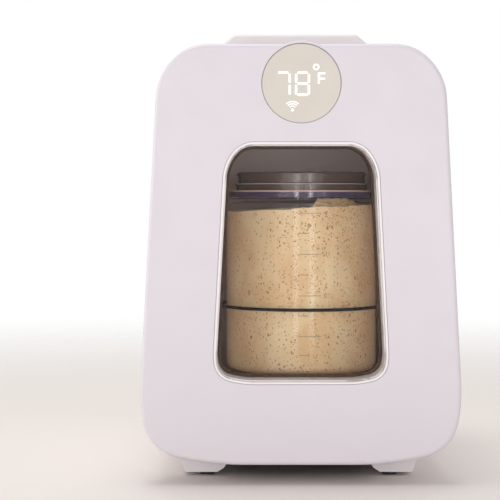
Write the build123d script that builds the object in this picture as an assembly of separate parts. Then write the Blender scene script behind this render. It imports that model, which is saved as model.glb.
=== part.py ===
from build123d import *
import math
import os
from dataclasses import dataclass

# Sourdough starter warmer. Millimetres, +X to the viewer's right, the door faces -Y,
# z = 0 is the table and the origin is the middle of the footprint.


def arc_chain(start, heading, arcs, inset):
    """Tangent arcs that turn left from a point, each a radius and a turn in degrees."""
    point, tangent = Vector(*start), Vector(1, 0).rotate(Axis.Z, heading)
    chain = []
    for radius, turn in arcs:
        chain.append(JernArc(point, tangent, radius - inset, turn))
        point, tangent = chain[-1] @ 1, chain[-1] % 1
    return chain


@dataclass
class Outline:
    """Outline seen from the front: flat foot and top, leaning sides, corners of tangent arcs."""

    z_low: float  # height of the flat foot
    z_high: float  # height of the flat top
    flat_low: float  # half length of the flat foot
    arcs_low: tuple  # radius and turn of each arc from the foot to the side
    arcs_high: tuple  # radius and turn of each arc from the side to the top

    def right_half(self, inset):
        """Arcs and side of the right half, from the end of the foot to the end of the top."""
        heading = sum(turn for radius, turn in self.arcs_low)
        low = arc_chain((self.flat_low, self.z_low + inset), 0, self.arcs_low, inset)
        high = arc_chain((0, 0), heading, self.arcs_high, inset)
        side_start = low[-1] @ 1
        rise = self.z_high - inset - (high[-1] @ 1).Y - side_start.Y
        side = Line(side_start, side_start + (low[-1] % 1) * (rise / math.sin(math.radians(heading))))
        return low + [side] + [Pos(side @ 1) * arc for arc in high]

    def face(self, inset=0.0):
        """The outline as a face in the plane y = 0, offset inwards by inset."""
        right = self.right_half(inset)
        edges = right + [mirror(edge, about=Plane.YZ) for edge in right]
        for end in (right[0] @ 0, right[-1] @ 1):
            edges.append(Line((-end.X, end.Y), (end.X, end.Y)))
        return Plane.XZ * make_face(edges)

    def half_width(self):
        """Half width where the side starts."""
        return self.flat_low + sum_run(self.arcs_low)


def sum_run(arcs):
    """Distance to the right that a chain of arcs covers from a flat start."""
    heading, run = 0, 0
    for radius, turn in arcs:
        run += radius * (math.sin(math.radians(heading + turn)) - math.sin(math.radians(heading)))
        heading += turn
    return run


# Overall height, and the jar that everything is built round
overall_height = 305.0  # table to the handle's top
jar_radius = 57.25
jar_x = 4.0

# Depths from the door's face to the rear cover
door_thickness = 32.0
seal_gap = 3.0  # between door and housing
jar_front_gap = 2.75  # from the housing's front to the jar
jar_rear_gap = 8.75  # from the jar to the chamber's rear wall
liner_wall = 1.6
cold_base_thickness = 4.0
module_thickness = 3.8
hot_base_thickness = 5.0
hot_fin_length = 23.6
fan_fin_gap = 3.0
fan_depth = 25.0
cover_thickness = 3.0
chamber_depth = jar_front_gap + 2 * jar_radius + jar_rear_gap
cooler_depth = cold_base_thickness + module_thickness + hot_base_thickness + hot_fin_length
rear_depth = fan_fin_gap + fan_depth + cover_thickness
depth = door_thickness + seal_gap + chamber_depth + liner_wall + cooler_depth + rear_depth
front_y = -depth / 2
rear_y = depth / 2
door_rear_y = front_y + door_thickness
housing_front_y = door_rear_y + seal_gap
shell_rear_y = rear_y - cover_thickness
jar_y = housing_front_y + jar_front_gap + jar_radius
chamber_rear_y = jar_y + jar_radius + jar_rear_gap

# Heights and half widths
door_top_drop = 16.8  # door's top below the handle's top
door_top_z = overall_height - door_top_drop
chamber_low = 52.0
chamber_high = door_top_z - 60.2
chamber_half = jar_radius + jar_rear_gap
chamber_corner = 18.0
cooler_z = (chamber_low + chamber_high) / 2
lid_top_z = chamber_high - 22.0
jar_low = chamber_low + 9.0

# Door
door_arcs_low = ((214.5, 12.1), (29.5, 68.8), (118.3, 12.26))
door_arcs_high = ((38.9, 47.95), (31.4, 38.89))
door = Outline(13.0, door_top_z, chamber_half - 30.15, door_arcs_low, door_arcs_high)
door_wall = 3.0
door_edge_radius = 3.0
door_step_depth = 10.0  # the rear of the door is stepped in over this depth
door_step_inset = 8.0
inner_panel_wall = 2.5
inner_flange = 2.0  # flange of the inner panel inside the outer panel's wall
inner_edge_radius = 1.5
door_step_y = door_rear_y - door_step_depth

# Window
window_arcs_low = ((70.9, 14.1), (13.6, 66.2), (40.3, 12.8))
window_arcs_high = ((30.0, 36.9), (17.9, 50.0))
window_low, window_high = chamber_low + 14.0, chamber_high - 3.2
window = Outline(window_low, window_high, jar_radius - 27.65, window_arcs_low, window_arcs_high)
window_gap = 0.4  # shadow gap round the bezel
window_gap_depth = 1.4
bezel_width = 1.3  # white band round the glass
bezel_wall = 2.2  # wall of the sleeve between the two panes
pane_thickness = 3.0
pane_gap = 0.15
pane_recess = 0.8  # outer pane behind the door's face
inner_pane_recess = 0.3  # inner pane in front of the sleeve's rear end
pane_seal_width = 1.6
pane_seal_depth = 9.0

# Display button
display_z = door_top_z - 25.7
lens_radius = 25.7
lens_clearance = 0.4
cup_wall = 1.6
cup_depth = 18.0  # the cup stands above the door's top over this depth
cup_edge_radius = 0.8
lens_recess = 0.4
lens_plate = 2.4
lens_skirt_wall = 1.6
lens_skirt_depth = 4.0
button_travel = 0.8
button_end_gap = 0.4
ledge_width = 3.4
ledge_thickness = 2.2
board_thickness = 1.6
board_edge_gap = 0.2
led_size = (36.0, 22.0)
led_rise = 2.6  # module's middle above the display's centre
led_lens_gap = 1.3
switch_drop = 18.0  # switch below the display's centre
switch_size = 6.0
switch_height = 3.4
stem_radius = 1.5
running_gap = 0.05

# Seal
seal_clearance = 0.3
seal_width = 6.0
seal_groove = 1.0
seal_margin = 1.5  # from the chamber's mouth to the seal
seal_edge_radius = 0.8

# Housing
housing_inset = 5.5  # housing outline inside the door's
shell_wall = 2.6
frame_depth = 5.0
frame_edge_radius = 1.2
shell_front_y = housing_front_y + frame_depth
cover_edge_radius = 2.0

# Cooling and heating
cold_base = 80.0
cold_window = 72.0
cold_fin_length = 5.6
cold_fin_thickness = 2.0
cold_fin_count = 9
module_side = 40.0
hot_base = 90.0
hot_fin_thickness = 1.6
hot_fin_count = 11
clamp_rise = 28.0  # clamp screws above and below the module's centre
clamp_gap = 2.5  # fin pitches from the middle fin to the gap that takes a clamp screw
clamp_sizes = (1.5, 2.6, 2.0)  # shank radius, head radius and head height
probe_radius = 2.5
probe_reach = 4.0
probe_place = (chamber_half - 18.0, chamber_high - 28.0)

# Fan
fan_side = 80.0
fan_bore_radius = 38.5
fan_tip_radius = 37.5
fan_hub_radius = 18.5
fan_hole_edge = 4.25  # corner holes from the frame's sides
fan_hub_edge = 1.5
fan_blades = 7
fan_blade_chord = 19.0
fan_blade_thickness = 1.6
fan_trim = 1.0  # blade length beyond its ring at each end
fan_root_pitch = 48.0  # degrees from the fan's plane
fan_tip_pitch = 28.0
fan_strut_width = 4.0
fan_strut_depth = 3.0
fan_motor_radius = 17.0
fan_motor_depth = 6.0
fan_shaft_radius = 1.5
fan_shaft_length = 4.5
fan_axial_gap = 0.5

# Rear cover
grille_bar = 3.0
grille_slot = 3.6
intake_slot = (3.4, 26.0)
intake_pitch = 7.4
intake_count = 6
intake_x = -44.0
intake_z = 62.0
screw_radius = 1.5
screw_head_radius = 3.0
screw_head = 1.8
cover_screw_spots = ((12.0, chamber_low - 6.0), (14.0, cooler_z + 10.0), (0.0, chamber_high + 34.0))
cover_screw_places = [(sign * (chamber_half + out), z) for sign in (-1, 1) for out, z in cover_screw_spots]
cover_boss_radius = 4.5
cover_screw_length = 9.0

# Driver board and inlet
board_low = (0.0, 30.0)
board_high = (66.0, 70.0)
board_drums = ((14.0, 52.0, 9.0, 12.0), (34.0, 58.0, 5.0, 14.0), (34.0, 42.0, 5.0, 14.0))  # coil, capacitors
regulator = (53.0, 57.0, 14.0, 4.0)  # x, z, side and height
board_post_radius = 3.0
board_post_length = 7.4
inlet_x = 50.0
inlet_z = 40.0
inlet_body = (14.0, 11.0)
inlet_nose_radius = 5.0
inlet_hole_radius = 3.1
inlet_pin_radius = 1.0
inlet_pin_recess = 1.0
inlet_hole_depth = 9.0
inlet_recess = 0.4

# Hinge
hinge_x = -chamber_half - 21.0
hinge_y = front_y + 12.0
hinge_heights = (chamber_low + 33.0, chamber_high - 23.0)
hinge_pin_radius = 2.0
hinge_pin_length = 34.0
eye_radius = 5.0
eye_clearance = 0.6
arm_width = 6.0
arm_height = 12.0
arm_end_gap = 1.0
hinge_block_wall = 3.5
flange_left = 3.0  # bracket flange to the left of the hinge axis
flange_width = 15.0
flange_height = 36.0
flange_thickness = 2.0
bracket_screw_edge = 4.5  # from the flange's right edge
bracket_screw_rise = 12.0
bracket_screw_length = 8.0
bracket_screw_sizes = (1.5, 3.0, 0.9)  # shank radius, head radius and head height

# Magnets
magnet_x = chamber_half + 16.0
magnet_heights = (cooler_z - 30.0, cooler_z + 50.0)
magnet_radius = 4.5
magnet_thickness = 2.0
strike_size = (12.0, 24.0)
strike_thickness = 1.0

# Door screws, under the seal
door_screw_length = 14.0
door_screw_heights = (chamber_low + 14.0, cooler_z + 5.0, chamber_high - 16.0)
door_screw_x = chamber_half + seal_margin + seal_width / 2
door_screw_places = [(sign * door_screw_x, z) for sign in (-1, 1) for z in door_screw_heights]
door_boss_radius = 4.0

# Plinth and feet
plinth_low = 2.4
plinth_front_y = housing_front_y
plinth_rear_y = rear_y - 11.0
plinth_top = 34.0
runner_x = chamber_half  # middle of a runner
runner_profile = ((11.0, plinth_low), (14.4, 12.0), (18.0, plinth_top))  # its outer side, from its middle
arch_profile = ((-11.0, plinth_low), (-15.4, 5.4), (-20.0, 12.0))  # its inner side
plinth_corner = 1.6
foot_size = (10.0, 22.0)
foot_height = 4.0
foot_ys = (plinth_front_y + 14.0, plinth_rear_y - 16.0)
foot_places = [(sign * (runner_x - 4.0), y) for y in foot_ys for sign in (-1, 1)]
base_screw_ys = (plinth_front_y + 44.0, plinth_rear_y - 44.0)
base_screw_places = [(sign * runner_x, y) for y in base_screw_ys for sign in (-1, 1)]
base_screw_head_z = 9.0
base_screw_top_z = 26.0
counterbore_radius = 3.6

# Carrying handle
handle_width = 24.0
handle_thickness = 9.0
handle_half_foot = 59.0
handle_shoulder_inset = 4.6  # from the foot to where the end steepens
handle_shoulder_drop = 9.0
handle_top_inset = 15.3  # from the foot to the end of the flat top
handle_under_drop = 2.0  # inner bend below the outer one
handle_bend = 5.0
handle_edge_radius = 2.6
handle_screw_x = handle_half_foot - handle_thickness / 2
handle_screw_length = 11.0
scoop_margin = 3.0  # from the handle's foot to the scoop
scoop_half_x = handle_half_foot - handle_thickness - scoop_margin
scoop_half_y = 26.0
scoop_depth = 14.0
scoop_corner = 9.0
shell_top_z = door.z_high - housing_inset

# Jar and lid
jar_wall = 5.25
jar_floor = 5.5
jar_rim_z = lid_top_z - 5.1
jar_neck_z = jar_rim_z - 12.9
jar_shoulder_z = jar_neck_z - 1.0
jar_shoulder_wall = 2.5
jar_neck_radius = jar_radius - 13.75
jar_neck_wall = 4.0
jar_base_radius = 6.0
jar_shoulder_radius = 4.0
jar_neck_corner = 1.0
jar_kick = 1.2  # hollow under the base
jar_foot_width = 6.0  # flat ring that the jar stands on
dough_clearance = 0.15
dough_z = jar_neck_z - 6.5  # level on the jar's axis
dough_tilt = 2.7  # degrees, higher on the right
band_z = jar_low + 51.0
band_height = 2.2
band_thickness = 1.2
lid_skirt = (8.6, -17.4, -13.8)  # beyond the neck; its foot and its top edge below the lid's top
lid_skirt_wall = 1.8
lid_steps = ((3.1, -13.0), (3.9, -9.0), (1.7, -7.4), (2.5, -2.6))  # rings above it, measured likewise
lid_dish = 1.6
lid_dish_rim = 8.0  # from the lid's side to its dish
lid_top = 3.0
lid_bore_gap = 0.35
lid_edge = 1.0
lid_seal_thickness = 1.8

# Wire rack
rack_rod_radius = 1.5
rack_rail_radius = 2.0
rack_leg_radius = 1.6
rack_half_x = chamber_half - 12.0
rack_half_y = jar_radius - 9.25
rack_rail_x = rack_half_x - 10.0
rack_rod_count = 7
rack_clearance = 0.3
rack_weld = 0.3


# Small shape helpers
def slab(outline, y_from, y_to, inset=0.0):
    """The outline as a solid between two depths."""
    return extrude(Pos(0, y_from, 0) * outline.face(inset), y_to - y_from, dir=(0, 1, 0))


def block(xs, ys, zs):
    """Box between low and high values on each axis."""
    middle = [(low + high) / 2 for low, high in (xs, ys, zs)]
    return Pos(*middle) * Box(*[high - low for low, high in (xs, ys, zs)])


def rod(x, z, radius, y_from, y_to):
    """Round bar along Y."""
    return Pos(x, (y_from + y_to) / 2, z) * Rot(90, 0, 0) * Cylinder(radius, y_to - y_from)


def post(x, y, radius, z_from, z_to):
    """Round bar along Z."""
    return Pos(x, y, (z_from + z_to) / 2) * Cylinder(radius, z_to - z_from)


def chamber_block(y_from, y_to, grow=0.0):
    """The chamber's rounded section as a solid, grown outwards all round."""
    width = 2 * (chamber_half + grow)
    height = chamber_high - chamber_low + 2 * grow
    middle = (chamber_low + chamber_high) / 2
    section = Plane.XZ * Pos(0, middle) * RectangleRounded(width, height, chamber_corner + grow)
    return extrude(Pos(0, y_from, 0) * section, y_to - y_from, dir=(0, 1, 0))


def join(pieces):
    """All the pieces of a list as one shape."""
    whole = pieces[0]
    for piece in pieces[1:]:
        whole = whole + piece
    return whole


def screw(x, z, y_head, direction, length, sizes=(screw_radius, screw_head_radius, screw_head)):
    """Pan-head screw along Y; the head's seat is at y_head and the shank runs in direction."""
    radius, head_radius, head = sizes
    shank = rod(x, z, radius, *sorted((y_head, y_head + direction * length)))
    cap = rod(x, z, head_radius, *sorted((y_head, y_head - direction * head)))
    return shank + cap


# Door
def hinge_notch(height):
    """Room in the door for a bracket's arm and eye as the door swings."""
    reach = eye_radius + eye_clearance
    half = arm_height / 2 + arm_end_gap
    outside = -door.half_width() - door_edge_radius
    slot = block((outside, hinge_x + reach), (hinge_y, door_rear_y), (height - half, height + half))
    swing = block((outside, hinge_x), (hinge_y - reach, hinge_y), (height - half, height + half))
    return slot + swing + post(hinge_x, hinge_y, reach, height - half, height + half)


def hinge_pin(height, grow=0.0):
    half = hinge_pin_length / 2
    return post(hinge_x, hinge_y, hinge_pin_radius + grow, height - half, height + half)


def hinge_block(height):
    """Solid stretch of the outer panel that carries one pin."""
    reach = eye_radius + eye_clearance + hinge_block_wall
    half = hinge_pin_length / 2 + hinge_block_wall
    xs = (-door.half_width(), hinge_x + reach)
    return block(xs, (front_y + door_wall, inner_front_y), (height - half, height + half))


inner_front_y = door_step_y - inner_flange
cup_outer_radius = lens_radius + lens_clearance + cup_wall
ledge_y = front_y + lens_recess + lens_plate + lens_skirt_depth + button_travel + button_end_gap
display_board_y = ledge_y + ledge_thickness
cup_rear_y = display_board_y + board_thickness
display_board_radius = lens_radius - board_edge_gap
inner_plate_y = door_rear_y - inner_panel_wall


def door_screw(place):
    x, z = place
    head_seat = door_rear_y - seal_groove
    return screw(x, z, head_seat - screw_head, -1, door_screw_length)


def display_bores():
    """Room for the lens, the ledge that stops it and the seat of its board, front to rear."""
    bore = lens_radius + lens_clearance
    room = rod(0, display_z, bore, front_y, ledge_y)
    room += rod(0, display_z, bore - ledge_width, ledge_y, display_board_y)
    return room + rod(0, display_z, display_board_radius, display_board_y, cup_rear_y)


def door_outer_panel():
    """Front moulding: face, side walls, display cup, screw bosses and hinge blocks."""
    body = slab(door, front_y, door_step_y)
    body = fillet(body.faces().sort_by(Axis.Y)[0].outer_wire().edges(), door_edge_radius)
    rim = rod(0, display_z, cup_outer_radius, front_y, front_y + cup_depth)
    rim = fillet(rim.edges().group_by(Axis.Y)[0], cup_edge_radius)
    body += rim
    body -= slab(door, front_y + door_wall, door_step_y, door_wall)
    body += rod(0, display_z, cup_outer_radius, front_y + door_wall, cup_rear_y)
    body -= display_bores()
    inside = slab(door, front_y + door_wall, inner_front_y, door_wall)
    for height in hinge_heights:
        body += hinge_block(height) & inside
    for x, z in door_screw_places:
        body += rod(x, z, door_boss_radius, front_y + door_wall, inner_front_y)
    body -= slab(window, front_y, front_y + window_gap_depth)
    body -= slab(window, front_y, front_y + door_wall, window_gap)
    for height in hinge_heights:
        body -= hinge_notch(height)
        body -= hinge_pin(height)
    for place in door_screw_places:
        body -= door_screw(place)
    return body


def door_inner_panel():
    """Rear moulding: a stepped tray with the seal's groove and the window's rear opening."""
    flange = slab(door, inner_front_y, door_step_y, door_wall)
    tray = slab(door, door_step_y, door_rear_y, door_step_inset)
    tray = fillet(tray.faces().sort_by(Axis.Y)[-1].outer_wire().edges(), inner_edge_radius)
    body = flange + tray - slab(door, inner_front_y, inner_plate_y, door_step_inset + inner_panel_wall)
    for x, z in door_screw_places:
        body += rod(x, z, door_boss_radius, inner_front_y, inner_plate_y)
    body -= slab(window, inner_plate_y, door_rear_y, window_gap)
    body -= seal_ring(door_rear_y - seal_groove, door_rear_y)
    for height in hinge_heights:
        body -= hinge_notch(height)
    for place in door_screw_places:
        body -= screw_room(place)
    return body


def screw_room(place):
    """Hole and counterbore of a door screw, open to the seal's groove."""
    x, z = place
    seat = door_rear_y - seal_groove - screw_head
    return door_screw(place) + rod(x, z, screw_head_radius, seat, door_rear_y - seal_groove)


def seal_ring(y_from, y_to):
    """The seal's closed run round the chamber's mouth."""
    outside = chamber_block(y_from, y_to, seal_margin + seal_width)
    return outside - chamber_block(y_from, y_to, seal_margin)


def door_gasket():
    """Soft seal: a root in the groove and a rounded bulb towards the housing."""
    ring = seal_ring(door_rear_y - seal_groove, housing_front_y - seal_clearance)
    return fillet(ring.faces().sort_by(Axis.Y)[-1].edges(), seal_edge_radius)


def window_sleeve():
    """The sleeve's outside, filled."""
    return slab(window, front_y, door_rear_y, window_gap)


def window_bezel():
    """Sleeve through the door, with a seat for a pane at each end."""
    outer_seat = front_y + pane_recess + pane_thickness
    inner_seat = door_rear_y - inner_pane_recess - pane_thickness
    rim = window_gap + bezel_width
    body = window_sleeve() - slab(window, front_y, door_rear_y, window_gap + bezel_wall)
    body -= slab(window, front_y, outer_seat, rim)
    return body - slab(window, inner_seat, door_rear_y, rim)


def window_pane(y_from):
    return slab(window, y_from, y_from + pane_thickness, window_gap + bezel_width + pane_gap)


def pane_seal():
    """Dark frame in the sleeve that the inner pane is pressed against."""
    seat = door_rear_y - inner_pane_recess - pane_thickness
    outside = window_gap + bezel_wall
    frame = slab(window, seat - pane_seal_depth, seat, outside)
    return frame - slab(window, seat - pane_seal_depth, seat, outside + pane_seal_width)


def door_insulation():
    """Foam that fills the door round the sleeve, the display and the hinge blocks."""
    foam = slab(door, front_y + door_wall, inner_front_y, door_wall)
    foam += slab(door, inner_front_y, inner_plate_y, door_step_inset + inner_panel_wall)
    foam -= window_sleeve()
    foam -= rod(0, display_z, cup_outer_radius, front_y, cup_rear_y)
    for height in hinge_heights:
        foam -= hinge_block(height)
        foam -= hinge_notch(height)
    for x, z in door_screw_places:
        foam -= rod(x, z, door_boss_radius, front_y, door_rear_y)
    return foam - door_magnets()


def door_magnets():
    """Two discs glued behind the inner panel's plate."""
    start_y = inner_plate_y - magnet_thickness
    return group([rod(magnet_x, z, magnet_radius, start_y, inner_plate_y) for z in magnet_heights])


# Display
def display_lens():
    """Translucent disc with a skirt that runs in the cup, and a boss over the switch."""
    face_y = front_y + lens_recess
    plate_y = face_y + lens_plate
    disc = rod(0, display_z, lens_radius, face_y, plate_y + lens_skirt_depth)
    disc -= rod(0, display_z, lens_radius - lens_skirt_wall, plate_y, plate_y + lens_skirt_depth)
    return fillet(disc.edges().group_by(Axis.Y)[0], lens_recess)


def switch_top_y():
    return display_board_y - switch_height


def switch_stem():
    """Stem that carries the lens's push into the switch."""
    plate_y = front_y + lens_recess + lens_plate
    end_y = switch_top_y() + button_travel
    return rod(0, display_z - switch_drop, stem_radius, plate_y, end_y)


def tactile_switch():
    half = switch_size / 2
    z = display_z - switch_drop
    body = block((-half, half), (switch_top_y(), display_board_y), (z - half, z + half))
    return body - rod(0, z, stem_radius + running_gap, switch_top_y(), display_board_y - button_end_gap)


def led_module():
    width, height = led_size
    z = display_z + led_rise
    face_y = front_y + lens_recess + lens_plate + led_lens_gap
    return block((-width / 2, width / 2), (face_y, display_board_y), (z - height / 2, z + height / 2))


def display_board():
    return rod(0, display_z, display_board_radius, display_board_y, display_board_y + board_thickness)


# Hinge brackets and strikes
def bracket_screw(height, side):
    """Flat-topped screw, flush with the bracket's flange."""
    x = hinge_x - flange_left + flange_width - bracket_screw_edge
    seat = housing_front_y + bracket_screw_sizes[2]
    return screw(x, height + side * bracket_screw_rise, seat, 1, bracket_screw_length, bracket_screw_sizes)


def bracket_screws():
    return [bracket_screw(height, side) for height in hinge_heights for side in (-1, 1)]


def bracket_flange(height):
    xs = (hinge_x - flange_left, hinge_x - flange_left + flange_width)
    zs = (height - flange_height / 2, height + flange_height / 2)
    return block(xs, (housing_front_y, housing_front_y + flange_thickness), zs)


def hinge_bracket(height):
    """Flange let into the front frame, with an arm and an eye for the pin."""
    half = arm_height / 2
    arm = block(
        (hinge_x - arm_width / 2, hinge_x + arm_width / 2),
        (hinge_y, housing_front_y),
        (height - half, height + half),
    )
    eye = post(hinge_x, hinge_y, eye_radius, height - half, height + half)
    body = bracket_flange(height) + arm + eye - hinge_pin(height, running_gap)
    return body - bracket_screw(height, -1) - bracket_screw(height, 1)


def strike_plate(height):
    half_x, half_z = strike_size[0] / 2, strike_size[1] / 2
    ys = (housing_front_y, housing_front_y + strike_thickness)
    return block((magnet_x - half_x, magnet_x + half_x), ys, (height - half_z, height + half_z))


# Housing
def housing_block(y_from, y_to, inset=0.0):
    return slab(door, y_from, y_to, housing_inset + inset)


def front_frame():
    """Frame round the chamber's mouth, with pockets for brackets and strikes."""
    body = housing_block(housing_front_y, shell_front_y)
    body = fillet(body.faces().sort_by(Axis.Y)[0].outer_wire().edges(), frame_edge_radius)
    body -= chamber_block(housing_front_y, shell_front_y, liner_wall)
    for height in hinge_heights:
        body -= bracket_flange(height)
    for height in magnet_heights:
        body -= strike_plate(height)
    for piece in bracket_screws():
        body -= piece
    return body


def scoop(grow=0.0):
    """Finger pocket in the casing's top, under the handle."""
    width, length = 2 * (scoop_half_x + grow), 2 * (scoop_half_y + grow)
    section = Pos(0, 0, shell_top_z) * RectangleRounded(width, length, scoop_corner + grow)
    pocket = extrude(section, scoop_depth + grow, dir=(0, 0, -1))
    return fillet(pocket.faces().sort_by(Axis.Z)[0].edges(), scoop_corner / 2)


def outer_shell():
    """Tapering casing, open at the front and rear, with the scoop and the cover's bosses."""
    inside = housing_block(shell_front_y, shell_rear_y)
    body = inside - housing_block(shell_front_y, shell_rear_y, shell_wall)
    body += scoop(shell_wall) & inside
    body -= scoop()
    for x, z in cover_screw_places:
        body += cover_boss(x, z) & inside
    for cutter in cover_screws() + handle_screw_list() + base_screw_list():
        body -= cutter
    return body


def cover_boss(x, z):
    """Screw boss for the rear cover, on a rib to the nearest wall."""
    depth_range = (shell_rear_y - cover_screw_length - cover_boss_radius, shell_rear_y)
    boss = rod(x, z, cover_boss_radius, *depth_range)
    outwards = math.copysign(door.half_width(), x)
    rib = block(sorted((x, outwards)), depth_range, (z - cover_boss_radius / 2, z + cover_boss_radius / 2))
    return boss + rib


def cover_screws():
    seat = rear_y - screw_head
    return [screw(x, z, seat, -1, cover_screw_length) for x, z in cover_screw_places]


def fan_screws():
    seat = rear_y - screw_head
    length = cover_thickness + fan_depth / 2
    reach = fan_side / 2 - fan_hole_edge
    places = [(sx * reach, cooler_z + sz * reach) for sx in (-1, 1) for sz in (-1, 1)]
    return [screw(x, z, seat, -1, length) for x, z in places]


def grille_cutters():
    """Slots over the fan, each as long as the fan's circle allows."""
    pitch = grille_bar + grille_slot
    count = int(fan_bore_radius / pitch)
    cutters = []
    for row in range(-count, count + 1):
        rise = row * pitch
        half = math.sqrt(fan_bore_radius**2 - (abs(rise) + grille_slot / 2) ** 2)
        for side in (-1, 1):
            start, end = sorted((side * grille_bar / 2, side * half))
            section = Pos((start + end) / 2, rise) * SlotOverall(end - start, grille_slot)
            cutters.append(section)
    return cutters


def intake_cutters():
    """Row of upright slots beside the board."""
    width, height = intake_slot
    return [
        Pos(intake_x + (index - (intake_count - 1) / 2) * intake_pitch, intake_z)
        * Rot(0, 0, 90)
        * SlotOverall(height, width)
        for index in range(intake_count)
    ]


def rear_cover():
    """Back panel with fan grille, intake slots, board posts and the inlet's hole."""
    body = housing_block(shell_rear_y, rear_y)
    body = fillet(body.faces().sort_by(Axis.Y)[-1].outer_wire().edges(), cover_edge_radius)
    rear_plane = Plane(origin=(0, rear_y, 0), x_dir=(1, 0, 0), z_dir=(0, -1, 0))
    grille = [rear_plane * Pos(0, cooler_z) * cutter for cutter in grille_cutters()]
    intake = [rear_plane * cutter for cutter in intake_cutters()]
    for section in grille + intake:
        body -= extrude(section, cover_thickness, dir=(0, -1, 0))
    for x in (board_low[0] + board_post_radius, board_high[0] - board_post_radius):
        for z in (board_low[1] + board_post_radius, board_high[1] - board_post_radius):
            body += rod(x, z, board_post_radius, shell_rear_y - board_post_length, shell_rear_y)
    body -= rod(inlet_x, inlet_z, inlet_nose_radius, shell_rear_y, rear_y)
    for cutter in cover_screws() + fan_screws():
        body -= cutter
    return body


def foam():
    """Foam between casing and liner, from the front frame to the hot sink."""
    body = housing_block(shell_front_y, hot_base_y, shell_wall)
    body -= chamber_block(shell_front_y, cold_base_y, liner_wall)
    body -= square(cold_base, cold_base_y, module_y)
    body -= square(module_side, module_y, hot_base_y)
    body -= scoop(shell_wall)
    for cutter in clamp_screws() + handle_screw_list() + base_screw_list() + bracket_screws():
        body -= cutter
    return body - temperature_probe()


cold_base_y = chamber_rear_y + liner_wall
module_y = cold_base_y + cold_base_thickness
hot_base_y = module_y + module_thickness
hot_fin_y = hot_base_y + hot_base_thickness
fan_y = shell_rear_y - fan_depth


def square(side, y_from, y_to):
    """Square block on the cooler's axis."""
    return block((-side / 2, side / 2), (y_from, y_to), (cooler_z - side / 2, cooler_z + side / 2))


def chamber_liner():
    """Tub with a window in its rear wall for the cold sink's fins."""
    body = chamber_block(housing_front_y, cold_base_y, liner_wall)
    body -= chamber_block(housing_front_y, chamber_rear_y)
    return body - square(cold_window, chamber_rear_y, cold_base_y) - temperature_probe()


def fins(count, spread, thickness, height, y_from, y_to):
    """Upright fins, evenly spread."""
    pitch = (spread - thickness) / (count - 1)
    places = [-spread / 2 + thickness / 2 + index * pitch for index in range(count)]
    half = thickness / 2
    zs = (cooler_z - height / 2, cooler_z + height / 2)
    return join([block((x - half, x + half), (y_from, y_to), zs) for x in places])


def cold_sink():
    plate = square(cold_base, cold_base_y, module_y)
    spread = cold_window - 2 * cold_fin_thickness
    tip_y = cold_base_y - cold_fin_length
    comb = fins(cold_fin_count, spread, cold_fin_thickness, spread, tip_y, cold_base_y)
    return plate + comb - join(clamp_screws())


def hot_heatsink():
    plate = square(hot_base, hot_base_y, hot_fin_y)
    comb = fins(hot_fin_count, hot_base, hot_fin_thickness, hot_base, hot_fin_y, hot_fin_y + hot_fin_length)
    return plate + comb - join(clamp_screws())


def clamp_screws():
    """Screws from the hot sink, between its fins, into the cold sink."""
    x = clamp_gap * (hot_base - hot_fin_thickness) / (hot_fin_count - 1)
    length = hot_fin_y - module_y + cold_base_thickness / 2
    places = [(sx * x, cooler_z + sz * clamp_rise) for sx in (-1, 1) for sz in (-1, 1)]
    return [screw(x, z, hot_fin_y, -1, length, clamp_sizes) for x, z in places]


def temperature_probe():
    x, z = probe_place
    return rod(x, z, probe_radius, chamber_rear_y - probe_reach, hot_base_y)


# Fan
def fan_frame():
    """Square frame with a round duct, four struts and the motor's seat."""
    body = square(fan_side, fan_y, shell_rear_y)
    body -= rod(0, cooler_z, fan_bore_radius, fan_y, shell_rear_y)
    strut_y = shell_rear_y - fan_strut_depth
    reach = fan_bore_radius + fan_strut_width
    for turn in (45, 135):
        bar = Box(2 * reach, fan_strut_depth, fan_strut_width)
        body += Pos(0, strut_y + fan_strut_depth / 2, cooler_z) * Rot(0, turn, 0) * bar
    body += rod(0, cooler_z, fan_motor_radius, motor_y, shell_rear_y)
    bore_end_y = motor_y + fan_shaft_length + fan_axial_gap
    body -= rod(0, cooler_z, fan_shaft_radius + running_gap, motor_y, bore_end_y)
    for cutter in fan_screws():
        body -= cutter
    return body


motor_y = shell_rear_y - fan_motor_depth
hub_front_y = fan_y + fan_axial_gap
hub_rear_y = motor_y - fan_axial_gap


def fan_blade():
    """One blade, twisted from root to tip, a little longer than the ring that trims it."""
    middle = (hub_front_y + hub_rear_y) / 2
    sections = []
    ends = ((fan_hub_radius - fan_trim, fan_root_pitch), (fan_tip_radius + fan_trim, fan_tip_pitch))
    for radius, pitch in ends:
        plane = Plane(origin=(radius, middle, 0), x_dir=(0, 0, 1), z_dir=(1, 0, 0))
        sections.append(plane * Rot(0, 0, -pitch) * Rectangle(fan_blade_chord, fan_blade_thickness))
    return loft(sections)


def fan_rotor():
    """Hub, twisted blades trimmed to the duct, and the shaft."""
    ring = rod(0, 0, fan_tip_radius, hub_front_y, hub_rear_y)
    ring -= rod(0, 0, fan_hub_radius - fan_trim / 2, hub_front_y, hub_rear_y)
    blade = fan_blade() & ring
    hub = rod(0, 0, fan_hub_radius, hub_front_y, hub_rear_y)
    hub = fillet(hub.edges().group_by(Axis.Y)[0], fan_hub_edge)
    body = hub + rod(0, 0, fan_shaft_radius, hub_rear_y, motor_y + fan_shaft_length)
    for index in range(fan_blades):
        body += Rot(0, index * 360 / fan_blades, 0) * blade
    return Pos(0, 0, cooler_z) * body


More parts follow.
